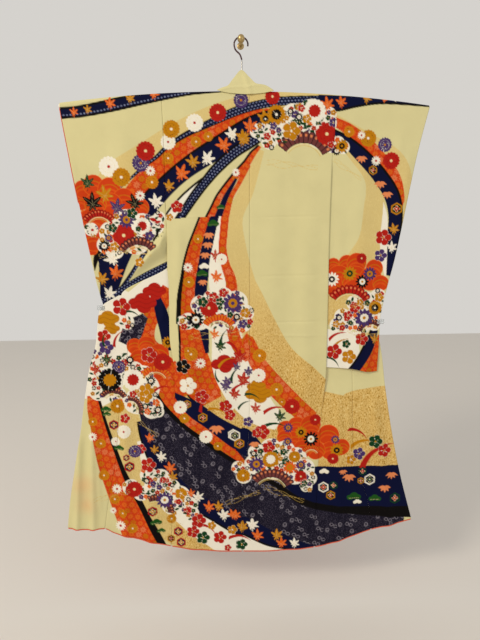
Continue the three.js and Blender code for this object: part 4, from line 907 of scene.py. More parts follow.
    ("sasa", "G", "salmon", [(398, -1556, 29), (374, -1534, 19), (562, -1552, 26), (536, -1602, 27),
        (254, -1630, 22)]),
    ("kikko", "BG", "white_red", [(300, -1596, 22)]),
    ("kikko", "G", "white_green", [(478, -1570, 23)]),
    ("kikko", "BG", "green_red", [(338, -1588, 17), (450, -1536, 17), (578, -1648, 23)]),
    ("kikko", "G", "mustard", [(328, -1628, 19), (444, -1574, 14)]),
    ("momiji", "BF", "orange", [(-352, -1384, 20), (-280, -1506, 26, 10), (-204, -1604, 19),
        (-138, -1664, 25), (-48, -1696, 23, 20), (-36, -1700, 22), (46, -1786, 27), (138, -1820, 25)]),
    ("momiji", "BF", "white", [(-312, -1460, 23), (-178, -1622, 25), (-82, -1698, 26, 10), (24, -1742, 25),
        (28, -1742, 26), (188, -1820, 22)]),
    ("momiji", "BF", "mustard", [(-336, -1430, 19), (-272, -1540, 22), (-102, -1662, 23), (-10, -1746, 23),
        (-14, -1750, 23), (120, -1786, 27)]),
    ("ume", "F", "red", [(-438, -894, 33), (-504, -1000, 25), (-346, -1070, 29), (-440, -1306, 19),
        (-386, -1424, 20), (-434, -1098, 14), (-408, -1216, 14), (-360, -1486, 29), (-356, -1548, 14),
        (-308, -1548, 13)]),
    ("ume", "BF", "red", [(-252, -1636, 12), (-220, -1674, 16)]),
    ("ume", "F", "purple", [(-498, -1040, 27), (-344, -1560, 12), (-322, -1576, 12)]),
    ("kiku", "F", "red", [(-296, -1098, 33), (-416, -1582, 32)]),
    ("daisy", "F", "mustard_black", [(-276, -1026, 22)]),
    ("momiji", "F", "green", [(-498, -1088, 23)]),
    ("momiji", "F", "red", [(-540, -1124, 22)]),
    ("kiku", "F", "purple", [(-456, -1114, 25), (-408, -1434, 25)]),
    ("daisy", "F", "black_white", [(-414, -1088, 16), (-340, -1166, 17), (-318, -1276, 16),
        (-364, -1260, 13), (-368, -1548, 13)]),
    ("daisy", "BF", "black_white", [(-274, -1570, 10)]),
    ("kiku", "F", "black_mustard", [(-490, -1162, 43)]),
    ("kiku", "F", "white_red", [(-406, -1162, 40)]),
    ("ume", "F", "mustard", [(-358, -1204, 29), (-362, -1224, 26)]),
    ("ume", "BF", "mustard", [(-242, -1604, 24)]),
    ("ume", "F", "orange", [(-324, -1248, 14), (-356, -1280, 13)]),
    ("leaf", "F", "green", [(-352, -1254, 10), (-332, -1288, 10), (-374, -1282, 9), (-432, -1066, 10),
        (-364, -1598, 12), (-332, -1528, 10), (-296, -1568, 9), (-310, -1530, 10)]),
    ("leaf", "BF", "green", [(-246, -1656, 10), (-228, -1682, 10)]),
    ("kiku", "F", "mustard", [(-466, -1260, 27)]),
    ("kiku", "BF", "mustard", [(-280, -1704, 19)]),
    ("kikko", "F", "red_kikko", [(-482, -1330, 19), (-440, -1456, 13), (-430, -1492, 20),
        (-350, -1670, 20)]),
    ("kikko", "BF", "red_kikko", [(-246, -1800, 19), (-256, -1756, 19)]),
    ("kikko", "BF", "mustard", [(-284, -1784, 16)]),
    ("kiku", "F", "white", [(-446, -1356, 26), (-478, -1394, 17)]),
    ("daisy", "BF", "purple_white", [(-304, -1628, 33)]),
    ("ume", "BF", "red", [(-178, -1714, 29), (-200, -1756, 25), (-98, -1784, 26), (-68, -1828, 14)]),
    ("ume", "BF", "green", [(-162, -1784, 26), (-16, -1818, 23), (-14, -1818, 22)]),
    ("ume", "BF", "mustard", [(-128, -1736, 17), (-50, -1756, 19)]),
    ("daisy", "R", "white_black", [(322, -804, 26)]),
    ("daisy", "R", "mustard_green", [(386, -784, 26)]),
    ("daisy", "R", "black_white", [(432, -814, 25), (350, -944, 13)]),
    ("daisy", "R", "purple_mustard", [(460, -786, 25)]),
    ("kiku", "R", "red", [(428, -730, 19)]),
    ("ume", "R", "red", [(406, -908, 20), (382, -936, 17), (334, -1070, 29), (434, -1024, 25),
        (362, -982, 12)]),
    ("daisy", "R", "purple_white", [(442, -946, 35)]),
    ("kiku", "R", "mustard_black", [(482, -910, 26)]),
    ("ume", "R", "mustard", [(496, -872, 17), (388, -1090, 27), (340, -968, 14), (424, -888, 13)]),
    ("ume", "R", "green", [(378, -1042, 16), (392, -964, 10), (452, -892, 12)]),
    ("ume", "R", "red_white", [(506, -656, 29)]),
    ("ume", "R", "purple", [(498, -720, 23)]),
    ("pine", "B", "green_pine", [(-104, -602, 22), (-76, -546, 16), (-146, -778, 22)]),
    ("pine", "B", "white", [(-138, -752, 19)]),
    ("pine", "G", "white", [(302, -1532, 19), (432, -1658, 17)]),
    ("pine", "G", "green_pine", [(418, -1636, 29), (500, -1646, 25)]),
    ("pine", "F", "green_pine", [(-508, -1270, 20), (-466, -1418, 20), (-338, -1714, 23), (-320, -1750, 17),
        (-506, -1288, 16)]),
    ("threads", "B", "gold", [(176, -404, 90, -6), (-96, -1000, 95, 3), (-10, -1628, 70, 18),
        (150, -1618, 80, -22)]),
    ("threads", "R", "gold", [(372, -420, 60, -34), (400, -900, 85, 0), (440, -1004, 60, -8)]),
    ("threads", "F", "gold", [(-590, -1232, 36, 4), (-376, -1330, 70, -40), (-500, -1604, 70, 14)]),
    ("threads", "BF", "gold", [(-300, -1700, 70, -30)]),
    ("fan", "L", "mauve", [(-372, -686, 70, 3)]),
    ("ume", "B", "red", [(-230, -544, 22, 20)]),
    ("ume", "B", "mustard", [(-256, -580, 13)]),
    ("leaf", "L", "black", [(-300, -630, 12, 60), (-304, -644, 12, 50), (-313, -656, 10, 70),
        (-292, -622, 9, 20)]),
    ("leaf", "L", "red", [(-314, -588, 15, -20), (-298, -596, 12, 15)]),
    ("threads", "L", "gold", [(-430, -700, 80, 10), (-356, -704, 36, -16)]),
    # Painted reflected light: a faint pink patch on the lower left front, as cast by red cloth near it.
    ("painted_pink_reflection", "F", "salmon", [(-604, -1560, 62), (-596, -1640, 50)]),
    ("branch", "B", "green", [(-70, -1010, 30, 70), (-30, -1150, 34, 60), (30, -1236, 30, -20),
        (-96, -1150, 26, 100)]),
    ("branch", "B", "red_branch", [(-40, -1060, 40, -60), (-12, -1200, 36, 20)]),
    ("branch", "B", "gold_branch", [(-64, -1104, 34, 30), (-100, -1290, 36, -20)]),
    ("momiji", "B", "purple", [(-62, -1176, 21, 15), (-28, -1122, 18, -20)]),
    ("branch", "F", "green", [(-398, -922, 26, -24), (-500, -1010, 26, 80)]),
    ("branch", "F", "red_branch", [(-452, -1010, 34, 60), (-300, -1200, 30, 10)]),
]


class Cloth:
    """All face points of the patterned panels in one row, with the colour and gilding laid on them."""

    def __init__(self, grids):
        self.names = [n for n, (zone, _) in grids.items() if zone != "-"]
        sizes = [grids[n][1].shape[0] * grids[n][1].shape[1] for n in self.names]
        self.ends = np.cumsum([0] + sizes)
        self.x, self.z = (np.concatenate([grids[n][1][..., k].ravel() for n in self.names]) for k in (0, 2))
        self.zone = np.concatenate([np.full(s, grids[n][0]) for n, s in zip(self.names, sizes)])
        below_tuck = self.z < TUCK_Z + (self.x - TUCK_X) * TUCK_RISE
        self.half = np.where(self.zone == "B", np.where(below_tuck, "D", "U"), "-")
        self.colour = np.tile(linear("cream"), (len(self.x), 1))
        self.gilt = np.zeros(len(self.x))
        self.knots = np.zeros(len(self.x))

    def near(self, zones, x0, x1, z0, z1):
        """Numbers of the points of some panels that lie in a box. U and D are the back above and below the
        tuck across it, where the pattern jumps sideways."""
        inside = (self.x > x0) & (self.x < x1) & (self.z > z0) & (self.z < z1)
        return np.flatnonzero(inside & (np.isin(self.zone, list(zones)) | np.isin(self.half, list(zones))))

    def lay(self, at, cover, dye, gilt=0.0, knots=0.0):
        """Lays a dye on points, with cover 0 to 1: each value moves to the new one by that share."""
        cover = np.clip(cover, 0, 1)
        self.colour[at] += (linear(dye) - self.colour[at]) * cover[:, None]
        self.gilt[at] += (gilt - self.gilt[at]) * cover
        self.knots[at] += (knots - self.knots[at]) * cover


def linear(dye):
    """A dye as linear red, green and blue."""
    return np.array(srgb(DYES[dye])[:3])


EDGE_SOFT = 1.5         # mm over which one dye gives way to the next
BLACK_EDGE = 7.5        # width of a ribbon's black edge, in mm
FINE_FROM = 12          # radius in mm from which a plum blossom shows its finer lines


def soft(distance):
    """Cover of a point that lies this many mm inside an edge: 0.5 on it, 0 to 1 over EDGE_SOFT."""
    return np.clip(0.5 + distance / EDGE_SOFT, 0, 1)


def lattice(u, v, pitch):
    """Nearest node of a triangular lattice: (offset u, offset v, random number per node from its place)."""
    row = np.round(v / (pitch * 0.866))
    shift = np.where(row % 2 == 0, 0.0, 0.5) * pitch
    column = np.round((u - shift) / pitch)
    chance = np.abs(np.sin(row * 127.1 + column * 311.7) * 43758.5453) % 1
    return u - shift - column * pitch, v - row * pitch * 0.866, chance


def ground_pattern(cloth, at, cover, ground, u, v):
    """Fills a ribbon: u runs along it and v across, both in mm."""
    base = {"florets": "vermilion", "kanoko": "navy", "shibori": "indigo"}.get(ground, ground)
    # The gold is worn thin on the upper cloth: paler, with fewer flecks.
    worn = np.maximum(1 - ease((WORN_ABOVE - cloth.z[at]) / WHOLE_AFTER),
                      SLEEVE_WORN * (cloth.x[at] < SLEEVE_X))
    cloth.lay(at, cover, base, gilt=1.0 - 0.72 * worn if ground == "gold" else 0.0,
              knots=1.0 if ground == "shibori" else 0.0)
    if ground == "gold":
        cloth.lay(at, cover * worn * 0.75, "honey", gilt=0.28)
    if ground == "florets":
        # Stars of eight petals, tone on tone, in three tints.
        du, dv, chance = lattice(u, v, 27)
        r, a = np.hypot(du, dv), np.arctan2(dv, du)
        petals = np.abs(np.cos(4 * a + chance * 6))
        for low, high, dye in ((0.0, 0.45, "star"), (0.45, 0.8, "mustard"), (0.8, 1.0, "salmon")):
            here = (chance >= low) & (chance < high)
            size = 10.5 + 2.5 * chance
            cloth.lay(at, cover * here * soft(size * (0.55 + 0.45 * petals) - r) * 0.62, dye)
            cloth.lay(at, cover * here * soft(2.2 - r) * 0.9, "vermilion")
        du, dv, chance = lattice(u + 13, v + 8, 27)
        cloth.lay(at, cover * soft(1.5 - np.hypot(du, dv)) * 0.75, "salmon")
    if ground == "kanoko":
        # Tied dots 11.6 mm apart, coarser than the real ones, so that they show.
        du, dv, _ = lattice(u, v, 11.6)
        cloth.lay(at, cover * soft(2.3 - np.hypot(du / 1.35, dv)) * 0.86, "knot")
    if ground == "shibori":
        # Pairs of pale tied rings, scattered; the fine knots between them come from the material.
        du, dv, chance = lattice(u, v, 33)
        du, dv = du + 6 * np.cos(chance * 40), dv + 6 * np.sin(chance * 57)
        for side in (-1, 1):
            r = np.hypot(du + side * 7.4 * (chance > 0.15), dv + side * 2.2)
            cloth.lay(at, cover * (chance < 0.52) * soft(7.4 - r) * 0.6, "indigo")
            cloth.lay(at, cover * (chance < 0.52) * soft(1.0 - np.abs(r - 5.9)) * 0.78, "ring")


def lay_ribbon(cloth, zones, ground, edging, rows):
    """Lays a ribbon along a smooth line: each point takes its nearest place on the line, and is inside if it
    is no further across than the half width there."""
    rows = np.array(rows, float)
    steps = int(np.hypot(*np.diff(rows[:, :2], axis=0).T).sum() / 7) + 4
    line, _ = smooth_path(rows, steps)
    line, half = line[:, :2], line[:, 2]
    run = np.gradient(line, axis=0)
    run /= np.linalg.norm(run, axis=1, keepdims=True)
    length = np.concatenate([[0], np.cumsum(np.linalg.norm(np.diff(line, axis=0), axis=1))])
    pad = half.max() + 8
    at = cloth.near(zones, line[:, 0].min() - pad, line[:, 0].max() + pad,
                    line[:, 1].min() - pad, line[:, 1].max() + pad)
    if not len(at):
        return
    p = np.stack([cloth.x[at], cloth.z[at]], axis=1)
    nearest = np.concatenate([np.argmin(((chunk[:, None] - line[None]) ** 2).sum(2), axis=1)
                              for chunk in np.array_split(p, len(p) // 20000 + 1)])
    d = p - line[nearest]
    ahead = (d * run[nearest]).sum(1)
    across = d[:, 0] * run[nearest, 1] - d[:, 1] * run[nearest, 0]
    along_line = length[nearest] + ahead
    wide = np.interp(along_line, length, half)
    inside = np.minimum(soft(wide - np.abs(across)),
                        soft(np.minimum(along_line + 3, length[-1] + 3 - along_line)))
    if edging:
        band = {"black": np.abs(across), "black_left": across, "black_right": -across}[edging]
        reach = np.maximum(soft(wide + BLACK_EDGE - band) * (band > 0) * soft(along_line + 3)
                           * soft(length[-1] + 3 - along_line), 0)
        cloth.lay(at, reach, "black")
    ground_pattern(cloth, at, inside, ground, along_line, across)


# A flower's lines and its middle, by its main colour.
LINES = {"red": "dark", "white": "pale", "mustard": "dark", "amber": "dark", "purple": "white",
         "orange": "red", "black": "white", "green": "black", "mauve": "pale", "vermilion": "red",
         "salmon": "red"}
CENTRES = {"red": "pale", "white": "red", "mustard": "white", "amber": "white", "purple": "mustard",
           "orange": "white", "black": "mustard", "green": "white", "mauve": "black", "vermilion": "mustard",
           "salmon": "red"}


class Motif:
    """A motif's own measures at the points that it may reach: u along it and v up it, r and a as their polar
    form, and q, which is r over the radius. base and second are its dyes, line and centre its fine parts'."""

    def __init__(self, cloth, zones, palette, x, z, radius, turn):
        reach = radius * 1.3
        self.cloth, self.at = cloth, cloth.near(zones, x - reach, x + reach, z - reach, z + reach)
        dx, dz, lean = cloth.x[self.at] - x, cloth.z[self.at] - z, np.radians(turn)
        self.u = dx * np.cos(lean) + dz * np.sin(lean)
        self.v = dz * np.cos(lean) - dx * np.sin(lean)
        self.r, self.a = np.hypot(self.u, self.v), np.arctan2(self.v, self.u)
        self.radius, self.q = radius, self.r / radius
        self.base, _, second = palette.partition("_")
        self.second = second if second in DYES else ""
        self.line, self.centre = LINES.get(self.base, "black"), CENTRES.get(self.base, "mustard")

    def lay(self, cover, dye, gilt=0.0):
        """Lays a dye on the motif's points."""
        self.cloth.lay(self.at, cover, dye, gilt)

    def disc(self, size, dye):
        """A round spot; size is in radii."""
        self.lay(soft(self.radius * size - self.r), dye)

    def rosette(self, count, size, shape, dye):
        """Petals: the edge is at size radii times (1 - shape + shape |cos(count a / 2)|)."""
        edge_at = self.radius * size * (1 - shape + shape * np.abs(np.cos(count / 2 * self.a)))
        self.lay(soft(edge_at - self.r), dye)

    def gaps(self, count):
        """Distance from the nearest line between two petals: r times |cos(count a / 2)|."""
        return np.abs(np.cos(count / 2 * self.a)) * self.r

    def lobe(self, x, z, size, squash):
        """Cover of a disc whose place and size are in radii, flattened by squash."""
        return soft(self.radius * size
                    - np.hypot(self.u - x * self.radius, (self.v - z * self.radius) * squash))


def kiku(m):
    """Chrysanthemum: 16 shallow petals with lines between them, an inner ring of 12 petals in the second dye
    or else a thin circle, and a round middle."""
    m.rosette(16, 1, 0.10, m.base)
    m.lay(soft(0.95 - m.gaps(16)) * (m.q > 0.24) * (m.q < 0.97) * 0.85, m.line)
    if m.second:
        m.rosette(12, 0.56, 0.16, m.second)
        m.lay(soft(0.6 - m.gaps(12)) * (m.q < 0.53) * (m.q > 0.2) * 0.6, LINES.get(m.second, "black"))
    else:
        m.lay(soft(0.7 - np.abs(m.q - 0.62) * m.radius) * 0.35, m.line)
    m.disc(0.15, m.centre)


def daisy(m):
    """Twelve deep petals with faint lines, an inner rosette of ten, and a round middle."""
    inner = m.second or m.centre
    m.rosette(12, 1, 0.36, m.base)
    m.lay(soft(0.5 - m.gaps(12)) * (m.q < 0.6) * 0.4, inner)
    m.rosette(10, 0.46, 0.12, inner)
    m.disc(0.17, "mustard" if m.second == "white" else m.base)


def burst(m):
    """A white star of twelve deep petals with a red middle."""
    m.rosette(12, 1, 0.42, "white")
    m.disc(0.24, "red")


def ume(m):
    """Plum blossom: its edge is at radius times (0.62 + 0.38 |cos(2.5 a)| to the power 0.55), with a thin
    rim, lines between the petals, a ring of stamens, a middle, and dark dents where the petals part."""
    edge_at = m.radius * (0.62 + 0.38 * np.abs(np.cos(2.5 * m.a)) ** 0.55)
    large = m.radius > FINE_FROM
    m.lay(soft(edge_at + 0.7 - m.r), "white" if m.base != "white" else "pale")
    m.lay(soft(edge_at - m.r), m.base)
    m.lay(soft(1.0 - m.gaps(5)) * (m.q < 0.56) * large, "white" if m.base != "white" else "red")
    stamens = soft(m.radius * 0.24 - m.r) * soft(0.8 - np.abs(np.sin(5 * m.a)) * m.r)
    m.lay(stamens * 0.9, m.second or "pale")
    m.disc(0.12, "mustard" if m.base != "mustard" else "white")
    dent = soft(0.9 - m.gaps(5)) * (m.q > (0.6 if large else 0.45)) * soft(edge_at - m.r)
    m.lay(dent * 0.8, "dark" if m.base in ("red", "mustard", "orange") else "black")


def momiji(m):
    """Maple leaf: seven pointed lobes, the upper one longest, with veins, and a stalk below."""
    lobe = np.mod(m.a - np.pi / 2 + np.pi / 7, 2 * np.pi / 7) - np.pi / 7
    number = np.round((m.a - np.pi / 2) / (2 * np.pi / 7))
    tall = 1 - 0.10 * np.abs(number) - 0.14 * (np.abs(number) == 3)
    tip = m.radius * 1.18 * tall * np.maximum(0.46, 1 - np.abs(lobe) * 1.45)
    m.lay(soft(tip - m.r), m.base)
    veins = soft(0.45 - np.abs(np.sin(lobe)) * m.r) * (m.r < tip * 0.8)
    m.lay(veins * 0.35, "pale" if m.base != "white" else "mustard")
    m.lay(soft(0.9 - np.abs(m.u)) * (m.v < -0.25 * m.radius) * (m.v > -0.9 * m.radius), m.base)


def sasa(m):
    """Bamboo leaves fanned downwards from a point above the middle: five slim lens shapes."""
    rise = m.v - m.radius * 0.25
    for angle in (-158, -124, -90, -56, -22):
        w = np.radians(angle)
        s, t = m.u * np.cos(w) + rise * np.sin(w), rise * np.cos(w) - m.u * np.sin(w)
        k = np.clip(s / m.radius, 0, 1)
        lens = m.radius * 0.20 * np.sin(np.pi * k ** 0.75)
        m.lay(soft(lens - np.abs(t)) * (s > 0) * (s < m.radius), m.base)


def kikko(m):
    """Tortoise-shell: a dark hexagon with a frame in it, round a flower of four petals."""
    six = np.mod(m.a + np.pi / 6, np.pi / 3) - np.pi / 6
    flat_r = m.r * np.cos(six)
    m.lay(soft(m.radius * 0.88 - flat_r), "navy" if m.base != "mustard" else "black")
    frame_dye = m.base if m.base in ("red", "green", "white") else "mustard"
    m.lay(soft(m.radius * 0.105 - np.abs(flat_r - m.radius * 0.76)), frame_dye)
    flower = {"red": "mustard", "white": m.second or "red"}.get(m.base, "red")
    petal = m.radius * 0.56 * (0.45 + 0.55 * np.abs(np.cos(2 * m.a)))
    m.lay(soft(petal - m.r), "pale")
    m.lay(soft(petal - 1.6 - m.r), flower)
    m.disc(0.10, "white")


def pine(m):
    """Pine: three lobes over a pale line. In vermilion it is a rimmed disc with two arcs across it."""
    if m.base == "vermilion":
        inside = soft(m.radius - m.r)
        m.lay(inside, "orange")
        m.lay(soft(m.radius - 2.2 - m.r), "vermilion")
        for half, down, bend, share, dye in ((1.6, 0.55, 0.95, 0.6, "mustard"),
                                             (3.2, 0.9, 0.9, 0.5, "orange")):
            arc = np.abs(np.hypot(m.u, m.v + m.radius * down) - m.radius * bend)
            m.lay(soft(half - arc) * inside * share, dye)
        return
    for x, z, size in ((-0.5, -0.1, 0.46), (0.5, -0.1, 0.46), (0, 0.12, 0.56)):
        m.lay(m.lobe(x, z, size, 1.25), "pine" if m.base == "green" else "white")
    m.lay(soft(0.7 - np.abs(m.v + 0.22 * m.radius)) * (np.abs(m.u) < m.radius * 0.7) * 0.6, "pale")


def scallop(m):
    """One white disc of a scalloped cloud."""
    m.disc(0.93, "white")


def fan(m):
    """Eleven round-tipped petals side by side along a shallow arc: 116 degrees of a circle that has 1.19
    times the radius, with a spot in each petal and two thin bands below them."""
    petal_dye, rim, tip = {"mauve": ("mauve", "black", "salmon"), "orange": ("orange", "red", "mustard"),
                           "red": ("red", "dark", "salmon")}[m.base]
    count, sweep, arc = 11, 2.02, m.radius * 1.19
    w = m.v + m.radius * 0.62
    far, swing = np.hypot(m.u, w), np.arctan2(m.u, w)
    part = (swing / sweep + 0.5) * count
    inside = (part > 0) & (part < count)
    off = (part - np.floor(part) - 0.5) * 2
    half = arc * sweep / count / 2
    outer = arc - m.radius * 0.10 * (1 - np.sqrt(np.clip(1 - off ** 2, 0, 1)))
    inner = arc - m.radius * 0.42
    body = soft(outer - far) * soft(far - inner) * inside
    m.lay(body, rim)
    blade = body * soft(outer - 2.2 - far) * soft((1 - np.abs(off)) * half - 1.5)
    m.lay(blade * soft(far - inner - 1.2), petal_dye)
    m.lay(body * soft(m.radius * 0.05 - np.hypot(far - arc + m.radius * 0.15, off * half)) * 0.9, tip)
    m.lay(soft(1.4 - np.abs(far - inner + 3)) * inside, "pale")
    m.lay(soft(1.0 - np.abs(far - inner + 8)) * inside * 0.9, "line")


def cloud(m):
    """Four overlapping lobes with fine dark wave lines."""
    cover = np.zeros(len(m.r))
    for x, z, size in ((-0.55, -0.05, 0.45), (0, 0.2, 0.55), (0.55, 0.0, 0.42), (0.1, -0.3, 0.5)):
        cover = np.maximum(cover, m.lobe(x, z, size, 1.15))
    m.lay(cover, m.base)
    waves = np.abs(np.sin(m.v / 5.2 + 0.9 * np.sin(m.u / 9.0)))
    m.lay(cover * soft(0.5 - waves * 3.2) * 0.5, "dark")


def branch(m):
    """A bough along a parabola, 0.32 radii high, that gets thinner to the right."""
    bend = m.v - m.radius * 0.32 * (1 - (m.u / m.radius) ** 2)
    thick = m.radius * 0.085 * (1.15 - m.u / m.radius)
    m.lay(soft(thick - np.abs(bend)) * (np.abs(m.u) < m.radius), "mustard" if m.base == "gold" else m.base)


def threads(m):
    """Couched gold threads: three long sine waves that meet and part."""
    for k in range(3):
        line_at = m.radius * (0.10 * np.sin(m.u / m.radius * 3.4 + k * 2.1) + 0.07 * (k - 1) * (1 - m.q ** 2))
        m.lay(soft(0.5 - np.abs(m.v - line_at)) * (np.abs(m.u) < m.radius) * 0.7, "line", 1.0)


def leaf(m):
    """A lens: half width 0.42 radii times the cosine of the way along it."""
    half = m.radius * 0.42 * np.cos(np.clip(m.u / m.radius, -1, 1) * np.pi / 2)
    m.lay(soft(half - np.abs(m.v)), m.base)


def painted_pink_reflection(m):
    """A faint pink patch of painted reflected light, as cast by red cloth near it: 0.30 times exp(-2.5 q
    squared).
    """
    m.lay(0.30 * np.exp(-2.5 * m.q ** 2), m.base)


def specks(m):
    """Nine dots on a sunflower spiral: angle 2.4 k, distance root k."""
    for k in range(9):
        away = m.radius * np.sqrt(k / 9)
        m.lay(soft(1.7 - np.hypot(m.u - away * np.cos(k * 2.4), m.v - away * np.sin(k * 2.4))), m.base)


DRAW = {shape.__name__: shape for shape in (kiku, daisy, burst, ume, momiji, sasa, kikko, pine, scallop, fan,
                                            cloud, branch, threads, leaf, painted_pink_reflection, specks)}


def lay_motif(cloth, kind, zones, palette, x, z, radius, turn=0.0):
    """Lays a motif, if any point of its panels lies near it."""
    motif = Motif(cloth, zones, palette, x, z, radius, turn)
    if len(motif.at):
        DRAW[kind](motif)


SMALL_FLOWERS = [("ume", "red"), ("daisy", "black_white"), ("ume", "mustard"), ("leaf", "green"),
                 ("ume", "purple"), ("ume", "orange"), ("leaf", "green"), ("ume", "green")]


def strew(cloth, zones, x, z, radius):
    """Small flowers and leaves over a white cloud, on a sunflower spiral: angle 2.4 k, distance root k."""
    count = int((radius / 14) ** 2) + 2
    for k in range(count):
        away, angle = radius * 0.80 * np.sqrt((k + 0.6) / count), 2.4 * k + x * 0.7 + z
        kind, palette = SMALL_FLOWERS[int(k * 3 + abs(x) + abs(z)) % len(SMALL_FLOWERS)]
        lay_motif(cloth, kind, zones, palette, x + away * np.cos(angle), z + away * np.sin(angle),
                  8.5 + k % 3, 40.0 * k)


def dye_the_cloth(grids):
    """Lays all ribbons and then all motifs on the cloth, in order."""
    cloth = Cloth(grids)
    rows = []
    for _, zones, ground, edging, given in RIBBONS:
        along_last = not isinstance(given, list)
        rows = [(x, z, max(half - given, THINNEST)) for x, z, half in rows] if along_last else given
        lay_ribbon(cloth, zones, ground, edging, rows)
    for kind, zones, palette, rows in MOTIFS:
        for row in rows:
            lay_motif(cloth, kind, zones, palette, *row)
            if kind == "scallop" and row[2] > 15:
                strew(cloth, zones, *row)
    return cloth


# ------------------------------------------------------------------ panels
HALF_GAP = 0.03               # the drawn panels meet at their seams
SCOOP, SCOOP_EASE = 0.42, 30  # under the collar the cloth starts this many radians off the bar's top


def shifted(curve, by):
    """A curve moved sideways."""
    return lambda z: curve(z) + by


def neck_scoop(x):
    """How far the cloth is laid back from the top of the bar under the collar, in radians."""
    return SCOOP * ease((x - NECK[0]) / SCOOP_EASE) * ease((NECK[1] - x) / SCOOP_EASE)


def to_seam(free, seam):
    """A front's inner edge: free at the top, and on the seam from its change on."""
    return lambda z: mix(free(z), seam(z), past("front_seam", z))


def under_back(side, z):
    """How far a sleeve reaches in under the back, below its seam."""
    return UNDERLAP * past("underlaps_" + side, z)


def cuts():
    """Every panel's edges: left and right as x at a height, the lower edge as z at an x, and out."""
    made = {
        "back_left": dict(left=shifted(EDGE["back_left"], HALF_GAP),
                          right=shifted(EDGE["centre_back"], -HALF_GAP)),
        "back_right": dict(left=shifted(EDGE["centre_back"], HALF_GAP),
                           right=shifted(EDGE["back_right"], -HALF_GAP)),
        "front_left": dict(left=shifted(EDGE["front_left_outer"], HALF_GAP),
                           right=to_seam(EDGE["front_left_inner"], shifted(EDGE["back_left"], -HALF_GAP))),
        "okumi_left": dict(left=EDGE["okumi_left"], right=shifted(EDGE["front_left_outer"], -HALF_GAP)),
        "front_right": dict(left=to_seam(EDGE["front_right_inner"], shifted(EDGE["back_right"], HALF_GAP)),
                            right=shifted(EDGE["front_right_outer"], -HALF_GAP)),
        "okumi_right": dict(left=shifted(EDGE["front_right_outer"], HALF_GAP), right=EDGE["okumi_right"]),
        "sleeve_left": dict(left=EDGE["cuff_left"],
                            right=lambda z: EDGE["back_left"](z) - HALF_GAP + under_back("left", z)),
        "sleeve_right": dict(left=lambda z: EDGE["back_right"](z) + HALF_GAP - under_back("right", z),
                             right=EDGE["cuff_right"]),
    }
    for name, cut in made.items():
        side = name.split("_")[1]
        cut["bottom"] = LOWER[name] if name.startswith("sleeve") else LOWER["hem"]
        if name.startswith("back"):
            cut["out"] = lambda x, z, n=name: back_out(n, x, z)
        elif name.startswith("sleeve"):
            cut["out"] = lambda x, z, s=side: sleeve_out(s, x, z)
        else:
            cut["out"] = lambda x, z, s=side, n=name: front_out(s, n, x, z)
    return made


CUTS = cuts()
GRIDS = {}
for name in ("back_left", "back_right"):
    GRIDS[name] = ("B", panel_grid(**CUTS[name], scoop=neck_scoop))
for name, zone in (("front_left", "F"), ("front_right", "G")):
    GRIDS[name] = (zone, panel_grid(**CUTS[name], layer=-1))
for name, zone, top in (("okumi_left", "F", -853.0), ("okumi_right", "G", -930.0)):
    GRIDS[name] = (zone, panel_grid(**CUTS[name], top=top))
for side, zone in (("left", "L"), ("right", "R")):
    GRIDS[f"sleeve_{side}_outer"] = (zone, panel_grid(**CUTS["sleeve_" + side]))
    inner = dict(CUTS["sleeve_" + side], out=lambda x, z, s=side: sleeve_inner_out(s, x, z) - CLOTH)
    grid = panel_grid(**inner, layer=-1, radius=WRAP - SOLID_CLOTH + CLOTH, spacing=HIDDEN_STEP)
    GRIDS[f"sleeve_{side}_inner"] = (zone, grid[:, ::-1])

# The collar: its back stands up round the stem in a peak, and its fronts lie on the wall side of the fronts.
collar_top = through([(-82, -157), (-66, -150), (-48, -144), (-27, -118), (1, -90), (27, -113), (52, -136),
                      (80, -141), (109, -157)])
collar_foot = through([(-82, -160), (-40, -168), (15, -172), (70, -168), (109, -161)])
# The band is turned over: its edge is a soft rim that stands off the peak behind it.
collar_lip = through([(-82, -157), (-48, -147), (-14, -143), (16, -143), (46, -137), (64, -137), (90, -146),
                      (109, -158)])
COLLAR_CELLS = (96, 48)
BAND_CELLS, BAND_WIDTH, BAND_PLAY = (160, 16), 55, 0.5    # the collar's fronts, and how loosely they lie


def collar_grid(foot, peak, fold, turned):
    """Face points of the collar's back, which leans from foot to peak mm off the bar's middle on its way up.
    A slanting fold is fold times exp(-(distance / 9) squared) high. Where the band is turned over, it stands
    off another 2 mm below its lip, with a bell-shaped rim of 1 mm."""
    x = np.linspace(*NECK, COLLAR_CELLS[0] + 1)[None, :]
    z = mix(collar_top(x), collar_foot(x), np.linspace(0, 1, COLLAR_CELLS[1] + 1)[:, None])
    x = np.broadcast_to(x, z.shape)
    across = (x - 24 + (z + 150) * 0.3) / 9
    over_lip = z - collar_lip(x)
    band = 2.0 * (1 - ease((over_lip + 5) / 8)) + 1.0 * np.exp(-((over_lip + 6) / 4) ** 2)
    out = (BAR_OUT + mix(foot, peak, ease((z + 152) / 62))
           + fold * np.exp(-across ** 2) * ease((-96 - z) / 20) + band * turned)
    return np.stack([x, out, z], axis=-1)


def band_grid(path, side):
    """Face points of a collar front: BAND_WIDTH across a smooth path, on the wall side of its front."""
    line, run = smooth_path(np.array(path, float), BAND_CELLS[0])
    u = np.linspace(-0.5, 0.5, BAND_CELLS[1] + 1)[None, :] * BAND_WIDTH
    x = line[:, 0:1] - run[:, 1:2] * u
    z = line[:, 1:2] + run[:, 0:1] * u
    out = front_out(side, "", x, z) - SOLID_CLOTH - BAND_PLAY - CLOTH
    return np.stack([x, out, z], axis=-1)


